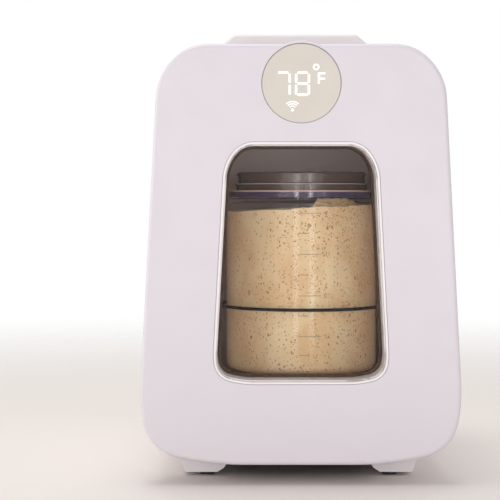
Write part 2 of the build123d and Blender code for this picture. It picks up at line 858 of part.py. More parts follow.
# Driver board and inlet
def power_board():
    """Board on the cover's posts, with its coil, capacitors and regulator."""
    rear = shell_rear_y - board_post_length
    front = rear - board_thickness
    body = block((board_low[0], board_high[0]), (front, rear), (board_low[1], board_high[1]))
    for x, z, radius, height in board_drums:
        body += rod(x, z, radius, front - height, front)
    x, z, side, height = regulator
    return body + block((x - side / 2, x + side / 2), (front - height, front), (z - side / 2, z + side / 2))


def dc_inlet():
    """Barrel socket with its centre pin."""
    width, height = inlet_body
    rear = shell_rear_y - board_post_length
    xs, zs = (inlet_x - width / 2, inlet_x + width / 2), (inlet_z - height / 2, inlet_z + height / 2)
    body = block(xs, (rear, shell_rear_y), zs)
    nose_end = rear_y - inlet_recess
    body += rod(inlet_x, inlet_z, inlet_nose_radius, shell_rear_y, nose_end)
    body -= rod(inlet_x, inlet_z, inlet_hole_radius, nose_end - inlet_hole_depth, nose_end)
    pin_end = nose_end - inlet_pin_recess
    return body + rod(inlet_x, inlet_z, inlet_pin_radius, nose_end - inlet_hole_depth, pin_end)


# Plinth and feet
def base_plinth():
    """Stand with two runners and an arch between them, shaped to the casing's underside."""
    right = [(runner_x + x, z) for x, z in arch_profile[::-1] + runner_profile]
    left = [(-x, z) for x, z in reversed(right)]
    sketch = make_face(Polyline([(x, 0, z) for x, z in right + left], close=True))
    sketch = fillet([corner for corner in sketch.vertices() if corner.Z < plinth_top / 2], plinth_corner)
    body = extrude(Pos(0, plinth_front_y, 0) * sketch, plinth_rear_y - plinth_front_y, dir=(0, 1, 0))
    body -= housing_block(plinth_front_y, rear_y)
    for x, y in foot_places:
        body -= foot(x, y)
    for cutter in base_screw_list():
        body -= cutter
    for x, y in base_screw_places:
        body -= post(x, y, counterbore_radius, plinth_low, base_screw_head_z)
    return body


def foot(x, y):
    """Soft pad, rounded at its ends, let into a runner."""
    width, length = foot_size
    section = Pos(x, y) * Rot(0, 0, 90) * SlotOverall(length, width)
    return extrude(section, foot_height)


def base_screw_list():
    """Upright screws from the runners' counterbores into the casing."""
    return [
        post(x, y, screw_radius, base_screw_head_z, base_screw_top_z)
        + post(x, y, screw_head_radius, base_screw_head_z - screw_head, base_screw_head_z)
        for x, y in base_screw_places
    ]


# Handle
def carry_handle():
    """Low bridge over the scoop, softened along all its outer edges."""
    top, foot_z = overall_height, shell_top_z
    end_x = handle_half_foot - handle_top_inset
    shoulder_x, shoulder_z = handle_half_foot - handle_shoulder_inset, top - handle_shoulder_drop
    outer = [(end_x, top), (shoulder_x, shoulder_z), (handle_half_foot, foot_z)]
    under = top - handle_thickness
    inner = [(handle_half_foot - handle_thickness, foot_z)]
    inner += [(shoulder_x - handle_thickness, shoulder_z - handle_under_drop)]
    inner += [(end_x - handle_thickness / 2, under)]
    right = outer + inner
    left = [(-x, z) for x, z in reversed(right)]
    sketch = make_face(Polyline([(x, 0, z) for x, z in right + left], close=True))
    sketch = fillet([corner for corner in sketch.vertices() if corner.Z > foot_z + handle_bend], handle_bend)
    half = handle_width / 2
    body = extrude(Pos(0, -half, 0) * sketch, handle_width, dir=(0, 1, 0))
    sides = body.faces().sort_by(Axis.Y)
    rims = [edge for side in (sides[0], sides[-1]) for edge in side.edges()]
    rims = [edge for edge in rims if edge.center().Z > foot_z + handle_edge_radius]
    body = fillet(rims, handle_edge_radius)
    for cutter in handle_screw_list():
        body -= cutter
    return body


def handle_screw_list():
    """Upright screws from inside the casing into the handle's feet."""
    seat = shell_top_z - shell_wall
    return [
        post(sign * handle_screw_x, 0, screw_radius, seat, seat + handle_screw_length)
        + post(sign * handle_screw_x, 0, screw_head_radius, seat - screw_head, seat)
        for sign in (-1, 1)
    ]


# Jar and lid
def turned(points, rounds=()):
    """Solid of revolution about the jar's axis from radius and height pairs, with corners rounded."""
    profile = make_face(Polyline([(radius, 0, z) for radius, z in points], close=True))
    for index, corner_radius in rounds:
        radius, z = points[index]
        corner = profile.vertices().sort_by_distance((radius, 0, z))[0]
        profile = fillet(corner, corner_radius)
    return Pos(jar_x, jar_y, 0) * revolve(profile, Axis.Z)


def jar_inside(clearance=0.0):
    """Radius and height pairs of the jar's inside, from the floor to the neck."""
    inside = jar_radius - jar_wall - clearance
    neck = jar_neck_radius - jar_neck_wall - clearance
    return [
        (inside, jar_low + jar_floor),
        (inside, jar_shoulder_z - jar_shoulder_wall),
        (neck, jar_neck_z - jar_shoulder_wall),
    ]


def jar_glass():
    """Thick straight-sided glass with a pushed-up base, rounded heel and stepped-in neck."""
    foot_outer = jar_radius - jar_base_radius
    foot_inner = foot_outer - jar_foot_width
    neck_inside = jar_neck_radius - jar_neck_wall
    outside = [
        (0, jar_low + jar_kick),
        (foot_inner - jar_kick, jar_low + jar_kick),
        (foot_inner, jar_low),
        (jar_radius, jar_low),
        (jar_radius, jar_shoulder_z),
        (jar_neck_radius, jar_neck_z),
        (jar_neck_radius, jar_rim_z),
        (neck_inside, jar_rim_z),
    ]
    points = outside + jar_inside()[::-1] + [(0, jar_low + jar_floor)]
    heels = [(3, jar_base_radius), (10, jar_base_radius)]
    shoulders = [(4, jar_shoulder_radius), (9, jar_shoulder_radius)]
    necks = [(5, jar_neck_corner), (8, jar_neck_corner)]
    return turned(points, heels + shoulders + necks)


def starter_dough():
    """Risen dough up to a slightly tilted level."""
    wall = jar_inside(dough_clearance)
    reach = 2 * jar_radius
    points = [(0, jar_low + jar_floor)] + wall + [(0, wall[-1][1])]
    above = Rot(0, -dough_tilt, 0) * Pos(0, 0, reach / 2) * Box(reach, reach, reach)
    risen = turned(points, [(1, jar_base_radius), (2, jar_shoulder_radius)])
    return risen - Pos(jar_x, jar_y, dough_z) * above


def jar_band():
    """Rubber band round the jar at the starting level."""
    low, high = band_z - band_height / 2, band_z + band_height / 2
    ring = post(jar_x, jar_y, jar_radius + band_thickness, low, high)
    return ring - post(jar_x, jar_y, jar_radius, low, high)


def jar_lid():
    """Push-on lid in stepped rings, with a shallow dish in its top."""
    bore = jar_neck_radius + lid_bore_gap
    ceiling = lid_top_z - lid_top
    skirt, foot_z, edge_z = jar_neck_radius + lid_skirt[0], lid_top_z + lid_skirt[1], lid_top_z + lid_skirt[2]
    steps = [(jar_neck_radius + beyond, lid_top_z + level) for beyond, level in lid_steps]
    outline = [(skirt, foot_z), (skirt, edge_z), steps[0]]
    for (radius, z), (next_radius, next_z) in zip(steps, steps[1:]):
        outline += [(radius, next_z - (radius - next_radius) / 2), (next_radius, next_z)]
    side = steps[-1][0]
    outline += [(side, lid_top_z - lid_edge), (side - lid_edge, lid_top_z)]
    dish_radius, dish_z = side - lid_dish_rim, lid_top_z - lid_dish
    outline += [(dish_radius + lid_dish, lid_top_z), (dish_radius, dish_z), (0, dish_z)]
    hollow, hollow_z = skirt - lid_skirt_wall, edge_z - lid_skirt_wall
    inside = [(0, ceiling), (bore, ceiling), (bore, hollow_z), (hollow, hollow_z), (hollow, foot_z)]
    return turned(outline + inside)


def lid_seal():
    """Flat seal in the lid, over the jar's rim."""
    ceiling = lid_top_z - lid_top
    outer = jar_neck_radius + lid_bore_gap
    ring = post(jar_x, jar_y, outer, ceiling - lid_seal_thickness, ceiling)
    return ring - post(jar_x, jar_y, jar_neck_radius - jar_neck_wall, ceiling - lid_seal_thickness, ceiling)


# Rack
def wire_rack():
    """Cross rods welded on two rails with four short legs."""
    rod_z = jar_low - rack_clearance - rack_rod_radius
    rail_z = rod_z - rack_rod_radius - rack_rail_radius + rack_weld
    pitch = 2 * rack_half_y / (rack_rod_count - 1)
    pieces = []
    for side in (-1, 1):
        rail_ends = (jar_y - rack_half_y - pitch / 4, jar_y + rack_half_y + pitch / 4)
        pieces.append(rod(side * rack_rail_x, rail_z, rack_rail_radius, *rail_ends))
        for y in (jar_y - rack_half_y, jar_y + rack_half_y):
            pieces.append(post(side * rack_rail_x, y, rack_leg_radius, chamber_low, rail_z))
    for index in range(rack_rod_count):
        y = jar_y - rack_half_y + index * pitch
        bar = Pos(0, y, rod_z) * Rot(0, 90, 0) * Cylinder(rack_rod_radius, 2 * rack_half_x)
        pieces.append(bar)
    return join(pieces)


def group(shapes):
    """Separate solids kept together under one name."""
    return Compound(children=[solid for shape in shapes for solid in shape.solids()])


def pieces():
    """Every piece of the warmer under its name."""
    outer_pane_y = front_y + pane_recess
    inner_pane_y = door_rear_y - inner_pane_recess - pane_thickness
    return {
        "outer_shell": outer_shell(),
        "front_frame": front_frame(),
        "base_plinth": base_plinth(),
        "rubber_feet": group([foot(x, y) for x, y in foot_places]),
        "base_screws": group(base_screw_list()),
        "chamber_liner": chamber_liner(),
        "insulation_foam": foam(),
        "wire_rack": wire_rack(),
        "cold_sink": cold_sink(),
        "peltier_module": square(module_side, module_y, hot_base_y),
        "hot_heatsink": hot_heatsink(),
        "clamp_screws": group(clamp_screws()),
        "fan_frame": fan_frame(),
        "fan_screws": group(fan_screws()),
        "rear_cover": rear_cover(),
        "rear_cover_screws": group(cover_screws()),
        "power_board": power_board(),
        "dc_inlet": dc_inlet(),
        "temperature_probe": temperature_probe(),
        "carry_handle": carry_handle(),
        "handle_screws": group(handle_screw_list()),
        "hinge_brackets": group([hinge_bracket(height) for height in hinge_heights]),
        "hinge_bracket_screws": group(bracket_screws()),
        "strike_plates": group([strike_plate(height) for height in magnet_heights]),
        "fan_rotor": fan_rotor(),
        "door_outer_panel": door_outer_panel(),
        "door_inner_panel": door_inner_panel(),
        "door_insulation": door_insulation(),
        "window_bezel": window_bezel(),
        "outer_window_pane": window_pane(outer_pane_y),
        "inner_window_pane": window_pane(inner_pane_y),
        "pane_seal": pane_seal(),
        "door_gasket": door_gasket(),
        "hinge_pins": group([hinge_pin(height) for height in hinge_heights]),
        "door_magnets": door_magnets(),
        "door_screws": group([door_screw(place) for place in door_screw_places]),
        "display_board": display_board(),
        "led_module": led_module(),
        "tactile_switch": tactile_switch(),
        "display_lens": display_lens(),
        "switch_stem": switch_stem(),
        "jar_glass": jar_glass(),
        "starter_dough": starter_dough(),
        "jar_band": jar_band(),
        "jar_lid": jar_lid(),
        "lid_seal": lid_seal(),
    }


os.makedirs("parts", exist_ok=True)
for name, shape in pieces().items():
    export_step(shape, f"parts/{name}.step")
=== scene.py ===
import logging
import math
from abc import ABC, abstractmethod
from collections.abc import Iterable, Sequence
from dataclasses import dataclass, field
from enum import Enum
from typing import NamedTuple

import bmesh
import bpy
from mathutils import Matrix, Vector

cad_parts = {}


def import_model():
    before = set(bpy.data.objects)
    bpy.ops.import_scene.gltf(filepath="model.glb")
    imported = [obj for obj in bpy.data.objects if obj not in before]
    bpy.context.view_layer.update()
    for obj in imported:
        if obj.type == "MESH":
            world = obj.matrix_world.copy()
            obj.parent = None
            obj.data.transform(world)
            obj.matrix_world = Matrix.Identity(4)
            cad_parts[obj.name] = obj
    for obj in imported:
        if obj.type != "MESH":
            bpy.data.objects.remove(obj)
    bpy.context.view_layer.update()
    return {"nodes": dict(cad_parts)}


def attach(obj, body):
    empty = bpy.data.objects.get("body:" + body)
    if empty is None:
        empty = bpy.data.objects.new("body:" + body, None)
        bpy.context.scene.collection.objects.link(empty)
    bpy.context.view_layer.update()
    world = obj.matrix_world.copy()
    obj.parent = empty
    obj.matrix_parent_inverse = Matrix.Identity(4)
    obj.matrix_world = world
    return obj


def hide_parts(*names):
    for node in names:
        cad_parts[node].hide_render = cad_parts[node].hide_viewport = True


LOG = logging.getLogger("warmer")
MM = 0.001
QUARTER = math.pi / 2
JAR_AXIS = (4.0, -20.0)
SIDES = (-1, 1)
Pair = tuple[float, float]
Triple = tuple[float, float, float]
Colour = Triple
Form = bmesh.types.BMesh
Material = bpy.types.Material
Piece = bpy.types.Object
Socket = bpy.types.NodeSocket


def tone(red: int, green: int, blue: int) -> Colour:
    """A colour from 0 to 255 as Blender's linear values.

    Args:
        red: Red as a screen shows it.
        green: Green as a screen shows it.
        blue: Blue as a screen shows it.

    Returns:
        The three linear values.
    """
    shares = (red / 255, green / 255, blue / 255)
    return tuple(s / 12.92 if s <= 0.04045 else ((s + 0.055) / 1.055) ** 2.4 for s in shares)


def scaled(colour: Colour, factor: float) -> Colour:
    """A colour made lighter or darker.

    Args:
        colour: The linear colour.
        factor: What each value is multiplied by.

    Returns:
        The new colour, no value over 1.
    """
    return tuple(min(1.0, value * factor) for value in colour)


class Body(Enum):
    """The moving bodies of the warmer."""

    HOUSING = "housing"
    FAN = "fan"
    DOOR = "door"
    BUTTON = "display_button"
    JAR = "jar"
    LID = "lid"


class Marking(Enum):
    """The two lengths of mark on the jar, in millimetres."""

    CUP = 15.4
    HALF_CUP = 7.4


class Bubbles(NamedTuple):
    """A size class of gas bubbles.

    Attributes:
        per_metre: Cells per metre, each with at most one bubble.
        largest: The largest radius as a share of a cell.
        share: Share of the cells that hold a bubble.
        depth: How dark the bubbles get, up to 1.
    """

    per_metre: float
    largest: float
    share: float
    depth: float


class Chip(NamedTuple):
    """A small part on the driver board, in millimetres.

    Attributes:
        x: Its middle across the warmer.
        z: Its middle above the table.
        width: Its size along x.
        height: Its size along z.
        rise: How far it stands off the board.
    """

    x: float
    z: float
    width: float
    height: float
    rise: float


class Area(NamedTuple):
    """A flat upright region, in millimetres."""

    left: float
    right: float
    low: float
    high: float


class Ripple(NamedTuple):
    """A wave over a surface, in millimetres and radians."""

    height: float
    by_x: float
    by_y: float
    start: float

    def at(self, x: float, y: float) -> float:
        """The wave's height at a place."""
        return self.height * math.sin(self.by_x * x + self.by_y * y + self.start)


class Bead(NamedTuple):
    """A light ring round the lid in millimetres, a painted highlight on a ledge's edge.

    Attributes:
        radius: The ring's radius to the middle of its section.
        middle: That middle's height above the table.
        reach: Half the section's width.
        rise: Half the section's height.
    """

    radius: float
    middle: float
    reach: float
    rise: float


# Materials
class NodeBench:
    """A material's node tree, with short calls for the nodes that the finishes use."""

    mix_inputs: tuple[int, int] = (6, 7)
    mix_output: int = 2

    def __init__(self, name: str) -> None:
        """Starts an empty material.

        Args:
            name: The material's name.
        """
        self.material = bpy.data.materials.new(name)
        self.material.use_nodes = True
        self.tree = self.material.node_tree
        self.tree.nodes.clear()
        self.output = self.tree.nodes.new("ShaderNodeOutputMaterial")

    def feed(self, socket: Socket, value: object) -> None:
        """Links a socket to another, or sets its plain value.

        Args:
            socket: The input to fill.
            value: An output socket, a number or a colour.
        """
        if isinstance(value, Socket):
            self.tree.links.new(value, socket)
        elif isinstance(value, tuple) and len(value) == 3 and socket.type == "RGBA":
            socket.default_value = (*value, 1.0)
        else:
            socket.default_value = value

    def node(
        self, kind: str, settings: dict[str, object], inputs: dict[str | int, object]
    ) -> bpy.types.Node:
        """Adds a node.

        Args:
            kind: Blender's name of the node.
            settings: Its properties.
            inputs: Its inputs by name or number.

        Returns:
            The node.
        """
        made = self.tree.nodes.new(kind)
        for key, value in settings.items():
            setattr(made, key, value)
        for key, value in inputs.items():
            self.feed(made.inputs[key], value)
        return made

    def place(self, stretch: Triple = (1.0, 1.0, 1.0)) -> Socket:
        """Object coordinates, stretched along the axes.

        Args:
            stretch: How much finer a pattern gets along each axis.

        Returns:
            The vector output.
        """
        coordinates = self.node("ShaderNodeTexCoord", {}, {}).outputs["Object"]
        inputs = {"Vector": coordinates, "Scale": stretch}
        return self.node("ShaderNodeMapping", {}, inputs).outputs["Vector"]

    def noise(
        self, place: Socket, scale: float, detail: float = 2.0, distortion: float = 0.0
    ) -> Socket:
        """Soft noise from 0 to 1.

        Args:
            place: The coordinates it reads.
            scale: Features per metre.
            detail: Octaves.
            distortion: How much it twists.

        Returns:
            The factor output.
        """
        inputs = {"Vector": place, "Scale": scale, "Detail": detail, "Distortion": distortion}
        return self.node("ShaderNodeTexNoise", {}, inputs).outputs["Fac"]

    def cells(self, place: Socket, scale: float, randomness: float = 1.0) -> bpy.types.Node:
        """Voronoi cells.

        Args:
            place: The coordinates it reads.
            scale: Cells per metre.
            randomness: 0 for a grid, 1 for scattered.

        Returns:
            The node, with Distance and Color outputs.
        """
        inputs = {"Vector": place, "Scale": scale, "Randomness": randomness}
        return self.node("ShaderNodeTexVoronoi", {}, inputs)

    def levels(
        self, value: Socket, low: float, high: float, to_low: float = 0.0, to_high: float = 1.0
    ) -> Socket:
        """Maps a range of values smoothly on another.

        Args:
            value: The value to map.
            low: Where the range starts.
            high: Where it ends.
            to_low: What the start becomes.
            to_high: What the end becomes.

        Returns:
            The mapped value.
        """
        inputs = {"Value": value, "From Min": low, "From Max": high}
        inputs |= {"To Min": to_low, "To Max": to_high}
        made = self.node("ShaderNodeMapRange", {"interpolation_type": "SMOOTHSTEP"}, inputs)
        return made.outputs["Result"]

    def math(self, operation: str, *values: object) -> Socket:
        """One sum on values.

        Args:
            operation: Blender's name of the sum.
            *values: Its two or three values.

        Returns:
            The result.
        """
        made = self.node("ShaderNodeMath", {"operation": operation}, dict(enumerate(values)))
        return made.outputs["Value"]

    def blend(self, share: Socket, low: object, high: object) -> Socket:
        """Mixes two colours.

        Args:
            share: 0 for the first, 1 for the second.
            low: First colour.
            high: Second colour.

        Returns:
            The mixed colour.
        """
        inputs = {0: share, self.mix_inputs[0]: low, self.mix_inputs[1]: high}
        made = self.node("ShaderNodeMix", {"data_type": "RGBA"}, inputs)
        return made.outputs[self.mix_output]

    def shades(self, share: Socket, colour: Colour, darkest: float, lightest: float) -> Socket:
        """Mixes darker and lighter shades of one colour.

        Args:
            share: 0 for the darkest, 1 for the lightest.
            colour: The colour.
            darkest: What it is multiplied by for the darkest.
            lightest: What it is multiplied by for the lightest.

        Returns:
            The mixed colour.
        """
        return self.blend(share, scaled(colour, darkest), scaled(colour, lightest))

    def bump(self, height: Socket, depth: float, strength: float = 1.0) -> Socket:
        """Surface relief.

        Args:
            height: The height from 0 to 1.
            depth: The relief's depth in metres.
            strength: How much of it shows.

        Returns:
            The normal output.
        """
        inputs = {"Height": height, "Distance": depth, "Strength": strength}
        return self.node("ShaderNodeBump", {}, inputs).outputs["Normal"]

    def principled(self, inputs: dict[str, object]) -> Socket:
        """A Principled shader.

        Args:
            inputs: Its inputs by name.

        Returns:
            The shader output.
        """
        return self.node("ShaderNodeBsdfPrincipled", {}, inputs).outputs["BSDF"]

    def mixed(self, share: object, first: Socket, second: Socket) -> Socket:
        """Mixes two shaders.

        Args:
            share: 0 for the first, 1 for the second.
            first: First shader.
            second: Second shader.

        Returns:
            The mixed shader.
        """
        made = self.node("ShaderNodeMixShader", {}, {0: share, 1: first, 2: second})
        return made.outputs["Shader"]

    def grazing(self) -> Socket:
        """0 where the surface faces the eye and 1 at its rim.

        Returns:
            The facing output.
        """
        return self.node("ShaderNodeLayerWeight", {}, {"Blend": 0.5}).outputs["Facing"]

    def finish(self, shader: Socket) -> Material:
        """Connects the last shader.

        Args:
            shader: The shader to show.

        Returns:
            The finished material.
        """
        self.tree.links.new(shader, self.output.inputs["Surface"])
        return self.material


@dataclass(frozen=True)
class Finish(ABC):
    """A procedural finish, wired on a bench of its own."""

    @abstractmethod
    def wire(self, bench: NodeBench) -> Socket:
        """Wires the nodes.

        Args:
            bench: The material's bench.

        Returns:
            The shader output.
        """

    def build(self, name: str) -> Material:
        """Makes the material.

        Args:
            name: Its name.

        Returns:
            The material.
        """
        bench = NodeBench(name)
        return bench.finish(self.wire(bench))


@dataclass(frozen=True)
class MouldedPlastic(Finish):
    """Injection-moulded plastic with a fine eroded grain and slight flow marks."""

    colour: Colour
    roughness: float = 0.4
    grain: float = 1500.0
    depth: float = 0.00003
    mottle: float = 0.03

    def wire(self, bench: NodeBench) -> Socket:
        """Wires the nodes.

        Args:
            bench: The material's bench.

        Returns:
            The shader output.
        """
        place = bench.place()
        flow = bench.noise(bench.place((1.0, 1.0, 0.35)), scale=14.0, detail=3.0, distortion=0.6)
        colour = bench.shades(flow, self.colour, 1 - self.mottle, 1 + self.mottle)
        fine = bench.noise(place, scale=self.grain)
        wear = bench.noise(place, scale=55.0, detail=4.0)
        polish = bench.levels(
            wear, 0.25, 0.75, to_low=self.roughness - 0.05, to_high=self.roughness + 0.05
        )
        normal = bench.bump(fine, depth=self.depth, strength=0.35)
        inputs = {"Base Color": colour, "Roughness": polish, "Normal": normal}
        return bench.principled(inputs)


@dataclass(frozen=True)
class SoftRubber(Finish):
    """Matt rubber or silicone with faint dust and a stippled skin."""

    colour: Colour
    roughness: float = 0.7
    dust: float = 0.12
    dust_colour: Colour = tone(150, 145, 140)
    gloss: float = 0.3

    def wire(self, bench: NodeBench) -> Socket:
        """Wires the nodes.

        Args:
            bench: The material's bench.

        Returns:
            The shader output.
        """
        place = bench.place()
        film = bench.levels(
            bench.noise(place, scale=240.0, detail=5.0), 0.5, 0.75, to_low=0.0, to_high=self.dust
        )
        colour = bench.blend(film, self.colour, self.dust_colour)
        wear = bench.noise(place, scale=130.0, detail=3.0)
        polish = bench.levels(
            wear, 0.3, 0.7, to_low=self.roughness - 0.1, to_high=self.roughness + 0.08
        )
        normal = bench.bump(bench.noise(place, scale=2200.0), depth=0.00004, strength=0.4)
        inputs = {"Base Color": colour, "Roughness": polish, "Normal": normal}
        return bench.principled(inputs | {"Specular IOR Level": self.gloss})


@dataclass(frozen=True)
class WorkedMetal(Finish):
    """Metal with fine tool marks along one direction and a few darker stains."""

    colour: Colour
    roughness: float = 0.3
    marks: Triple = (1.0, 1.0, 1.0)
    scale: float = 900.0
    depth: float = 0.00002

    def wire(self, bench: NodeBench) -> Socket:
        """Wires the nodes.

        Args:
            bench: The material's bench.

        Returns:
            The shader output.
        """
        lines = bench.noise(bench.place(self.marks), scale=self.scale, detail=3.0)
        stain = bench.noise(bench.place(), scale=60.0, detail=4.0)
        colour = bench.shades(stain, self.colour, 0.86, 1.06)
        polish = bench.levels(
            lines, 0.3, 0.7, to_low=self.roughness - 0.08, to_high=self.roughness + 0.1
        )
        normal = bench.bump(lines, depth=self.depth, strength=0.4)
        inputs = {"Base Color": colour, "Metallic": 1.0, "Roughness": polish, "Normal": normal}
        return bench.principled(inputs)


@dataclass(frozen=True)
class ClearGlass(Finish):
    """Clear glass: mirror at its rim, darker where one looks along the wall."""

    clear: Colour = (0.97, 0.97, 0.97)
    edge: Colour = (0.45, 0.42, 0.45)
    edge_from: float = 0.55
    mirror: float = 0.04
    roughness: float = 0.02
    rim: float = 0.6
    rim_power: float = 5.0

    def wire(self, bench: NodeBench) -> Socket:
        """Wires the nodes.

        Args:
            bench: The material's bench.

        Returns:
            The shader output.
        """
        facing = bench.grazing()
        tint = bench.blend(bench.levels(facing, self.edge_from, 1.0), self.clear, self.edge)
        passed = bench.node("ShaderNodeBsdfTransparent", {}, {"Color": tint}).outputs["BSDF"]
        smear = bench.noise(bench.place((1.0, 1.0, 0.4)), scale=35.0, detail=4.0)
        polish = bench.levels(
            smear, 0.4, 0.8, to_low=self.roughness, to_high=self.roughness + 0.04
        )
        gloss = {"Color": (0.95, 0.95, 0.95), "Roughness": polish}
        mirror = bench.node("ShaderNodeBsdfGlossy", {}, gloss).outputs["BSDF"]
        steep = bench.math("POWER", facing, self.rim_power)
        share = bench.math("MULTIPLY_ADD", steep, self.rim, self.mirror)
        return bench.mixed(share, passed, mirror)


@dataclass(frozen=True)
class SmokedLid(Finish):
    """The lid's plastic: a glossy violet skirt under satin rings of dark brown, in metres."""

    skirt: Colour = tone(78, 62, 92)
    rings: Colour = tone(94, 78, 74)
    skirt_top: float = 0.1927
    join: float = 0.0002
    roughnesses: Pair = (0.05, 0.26)
    gloss: float = 0.55

    def wire(self, bench: NodeBench) -> Socket:
        """Wires the nodes.

        Args:
            bench: The material's bench.

        Returns:
            The shader output.
        """
        place = bench.place()
        height = bench.node("ShaderNodeSeparateXYZ", {}, {"Vector": place}).outputs["Z"]
        above = bench.levels(height, self.skirt_top - self.join, self.skirt_top + self.join)
        haze = bench.noise(bench.place((1.0, 1.0, 3.0)), scale=60.0, detail=4.0)
        skirt = bench.shades(haze, self.skirt, 0.8, 1.2)
        rings = bench.shades(haze, self.rings, 0.8, 1.2)
        polish = bench.levels(above, 0.0, 1.0, *self.roughnesses)
        normal = bench.bump(bench.noise(place, scale=420.0), depth=0.00004, strength=0.3)
        colour = bench.blend(above, skirt, rings)
        inputs = {"Base Color": colour, "Roughness": polish, "Normal": normal}
        return bench.principled(inputs | {"Specular IOR Level": self.gloss})


@dataclass(frozen=True)
class RisenDough(Finish):
    """Fermented dough behind glass: cream, mottled, with dark gas bubbles in four size classes."""

    light: Colour = tone(251, 225, 182)
    warm: Colour = tone(238, 200, 150)
    hole: Colour = tone(146, 100, 54)
    smallest: float = 0.02
    classes: tuple[Bubbles, ...] = (
        Bubbles(per_metre=120.0, largest=0.2, share=0.26, depth=0.5),
        Bubbles(per_metre=250.0, largest=0.27, share=0.4, depth=0.75),
        Bubbles(per_metre=480.0, largest=0.34, share=0.42, depth=0.85),
        Bubbles(per_metre=850.0, largest=0.48, share=0.85, depth=0.85),
    )

    def bubbles(self, bench: NodeBench, crowding: Socket, kind: Bubbles) -> Socket:
        """One size class of bubbles.

        Args:
            bench: The material's bench.
            crowding: How crowded the bubbles are here, 1 on average.
            kind: The size class.

        Returns:
            The bubbles' mask.
        """
        cell = bench.cells(bench.place((1.0, 1.0, 0.72)), scale=kind.per_metre)
        dice = bench.node("ShaderNodeSeparateColor", {}, {"Color": cell.outputs["Color"]})
        radius = bench.math("MULTIPLY", dice.outputs["Red"], kind.largest)
        crowd = bench.math("MULTIPLY", crowding, kind.share)
        chosen = bench.math("LESS_THAN", dice.outputs["Green"], crowd)
        reach = bench.math("ADD", radius, self.smallest)
        reach = bench.math("DIVIDE", cell.outputs["Distance"], reach)
        inside = bench.levels(reach, 0.55, 1.0, to_low=1.0, to_high=0.0)
        return bench.math("MULTIPLY", bench.math("MULTIPLY", inside, chosen), kind.depth)

    def wire(self, bench: NodeBench) -> Socket:
        """Wires the nodes.

        Args:
            bench: The material's bench.

        Returns:
            The shader output.
        """
        cloud = bench.noise(bench.place((1.0, 1.0, 0.8)), scale=42.0, detail=5.0, distortion=0.4)
        colour = bench.blend(bench.levels(cloud, 0.32, 0.7), self.light, self.warm)
        veins = bench.noise(bench.place(), scale=260.0, detail=4.0)
        colour = bench.blend(
            bench.levels(veins, 0.55, 0.75, to_low=0.0, to_high=0.35), colour, self.warm
        )
        specks = bench.levels(
            bench.noise(bench.place(), scale=1100.0), 0.5, 0.8, to_low=0.0, to_high=0.5
        )
        colour = bench.blend(specks, colour, scaled(self.light, 1.06))
        crowding = bench.levels(
            bench.noise(bench.place(), scale=26.0), 0.35, 0.65, to_low=0.5, to_high=1.4
        )
        holes = self.bubbles(bench, crowding, self.classes[0])
        for kind in self.classes[1:]:
            holes = bench.math("MAXIMUM", holes, self.bubbles(bench, crowding, kind))
        colour = bench.blend(holes, colour, self.hole)
        relief = bench.math("SUBTRACT", bench.math("MULTIPLY", veins, 0.3), holes)
        inputs = {"Base Color": colour, "Normal": bench.bump(relief, depth=0.0004, strength=0.5)}
        inputs |= {"Roughness": bench.levels(holes, 0.0, 1.0, to_low=0.52, to_high=0.35)}
        inputs |= {"Specular IOR Level": 0.1, "Subsurface Weight": 0.2, "Subsurface Scale": 1.0}
        inputs |= {"Subsurface Radius": (0.004, 0.0022, 0.001), "Sheen Weight": 0.7}
        inputs |= {"Sheen Roughness": 0.6, "Sheen Tint": (1.0, 0.84, 0.64)}
        return bench.principled(inputs)


@dataclass(frozen=True)
class GlassSmear(Finish):
    """A thin film of dough left on the glass, ragged at its edge."""

    colour: Colour = tone(200, 170, 128)

    def wire(self, bench: NodeBench) -> Socket:
        """Wires the nodes.

        Args:
            bench: The material's bench.

        Returns:
            The shader output.
        """
        streak = bench.noise(bench.place((1.0, 1.0, 2.0)), scale=130.0, detail=5.0, distortion=1.2)
        colour = bench.shades(streak, self.colour, 0.7, 1.1)
        normal = bench.bump(streak, depth=0.0004, strength=0.5)
        solid = bench.principled({"Base Color": colour, "Roughness": 0.45, "Normal": normal})
        passed = bench.node("ShaderNodeBsdfTransparent", {}, {}).outputs["BSDF"]
        return bench.mixed(
            bench.levels(streak, 0.42, 0.6, to_low=0.9, to_high=0.45), passed, solid
        )


@dataclass(frozen=True)
class LitDisc(Finish):
    """Milky plastic over the lamps, with a slightly uneven glow."""

    colour: Colour = tone(209, 202, 193)

    def wire(self, bench: NodeBench) -> Socket:
        """Wires the nodes.

        Args:
            bench: The material's bench.

        Returns:
            The shader output.
        """
        place = bench.place()
        cloud = bench.noise(place, scale=46.0)
        colour = bench.shades(cloud, self.colour, 0.965, 1.03)
        normal = bench.bump(bench.noise(place, scale=2600.0), depth=0.00002, strength=0.25)
        polish = bench.levels(
            bench.noise(place, scale=80.0, detail=3.0), 0.3, 0.7, to_low=0.34, to_high=0.42
        )
        inputs = {"Base Color": colour, "Roughness": polish, "Normal": normal}
        inputs |= {"Subsurface Weight": 0.08, "Subsurface Radius": (0.002, 0.002, 0.002)}
        return bench.principled(inputs | {"Subsurface Scale": 1.0})


@dataclass(frozen=True)
class LitSegment(Finish):
    """A lit segment of the display, faintly uneven."""

    strength: float = 0.3
    outer: Colour = tone(255, 249, 244)
    inner: Colour = tone(255, 254, 252)

    def wire(self, bench: NodeBench) -> Socket:
        """Wires the nodes.

        Args:
            bench: The material's bench.

        Returns:
            The shader output.
        """
        cloud = bench.noise(bench.place(), scale=700.0)
        colour = bench.blend(cloud, self.outer, self.inner)
        glow = bench.levels(
            cloud, 0.2, 0.8, to_low=self.strength * 0.9, to_high=self.strength * 1.1
        )
        inputs = {"Base Color": colour, "Roughness": 0.4}
        return bench.principled(inputs | {"Emission Color": colour, "Emission Strength": glow})


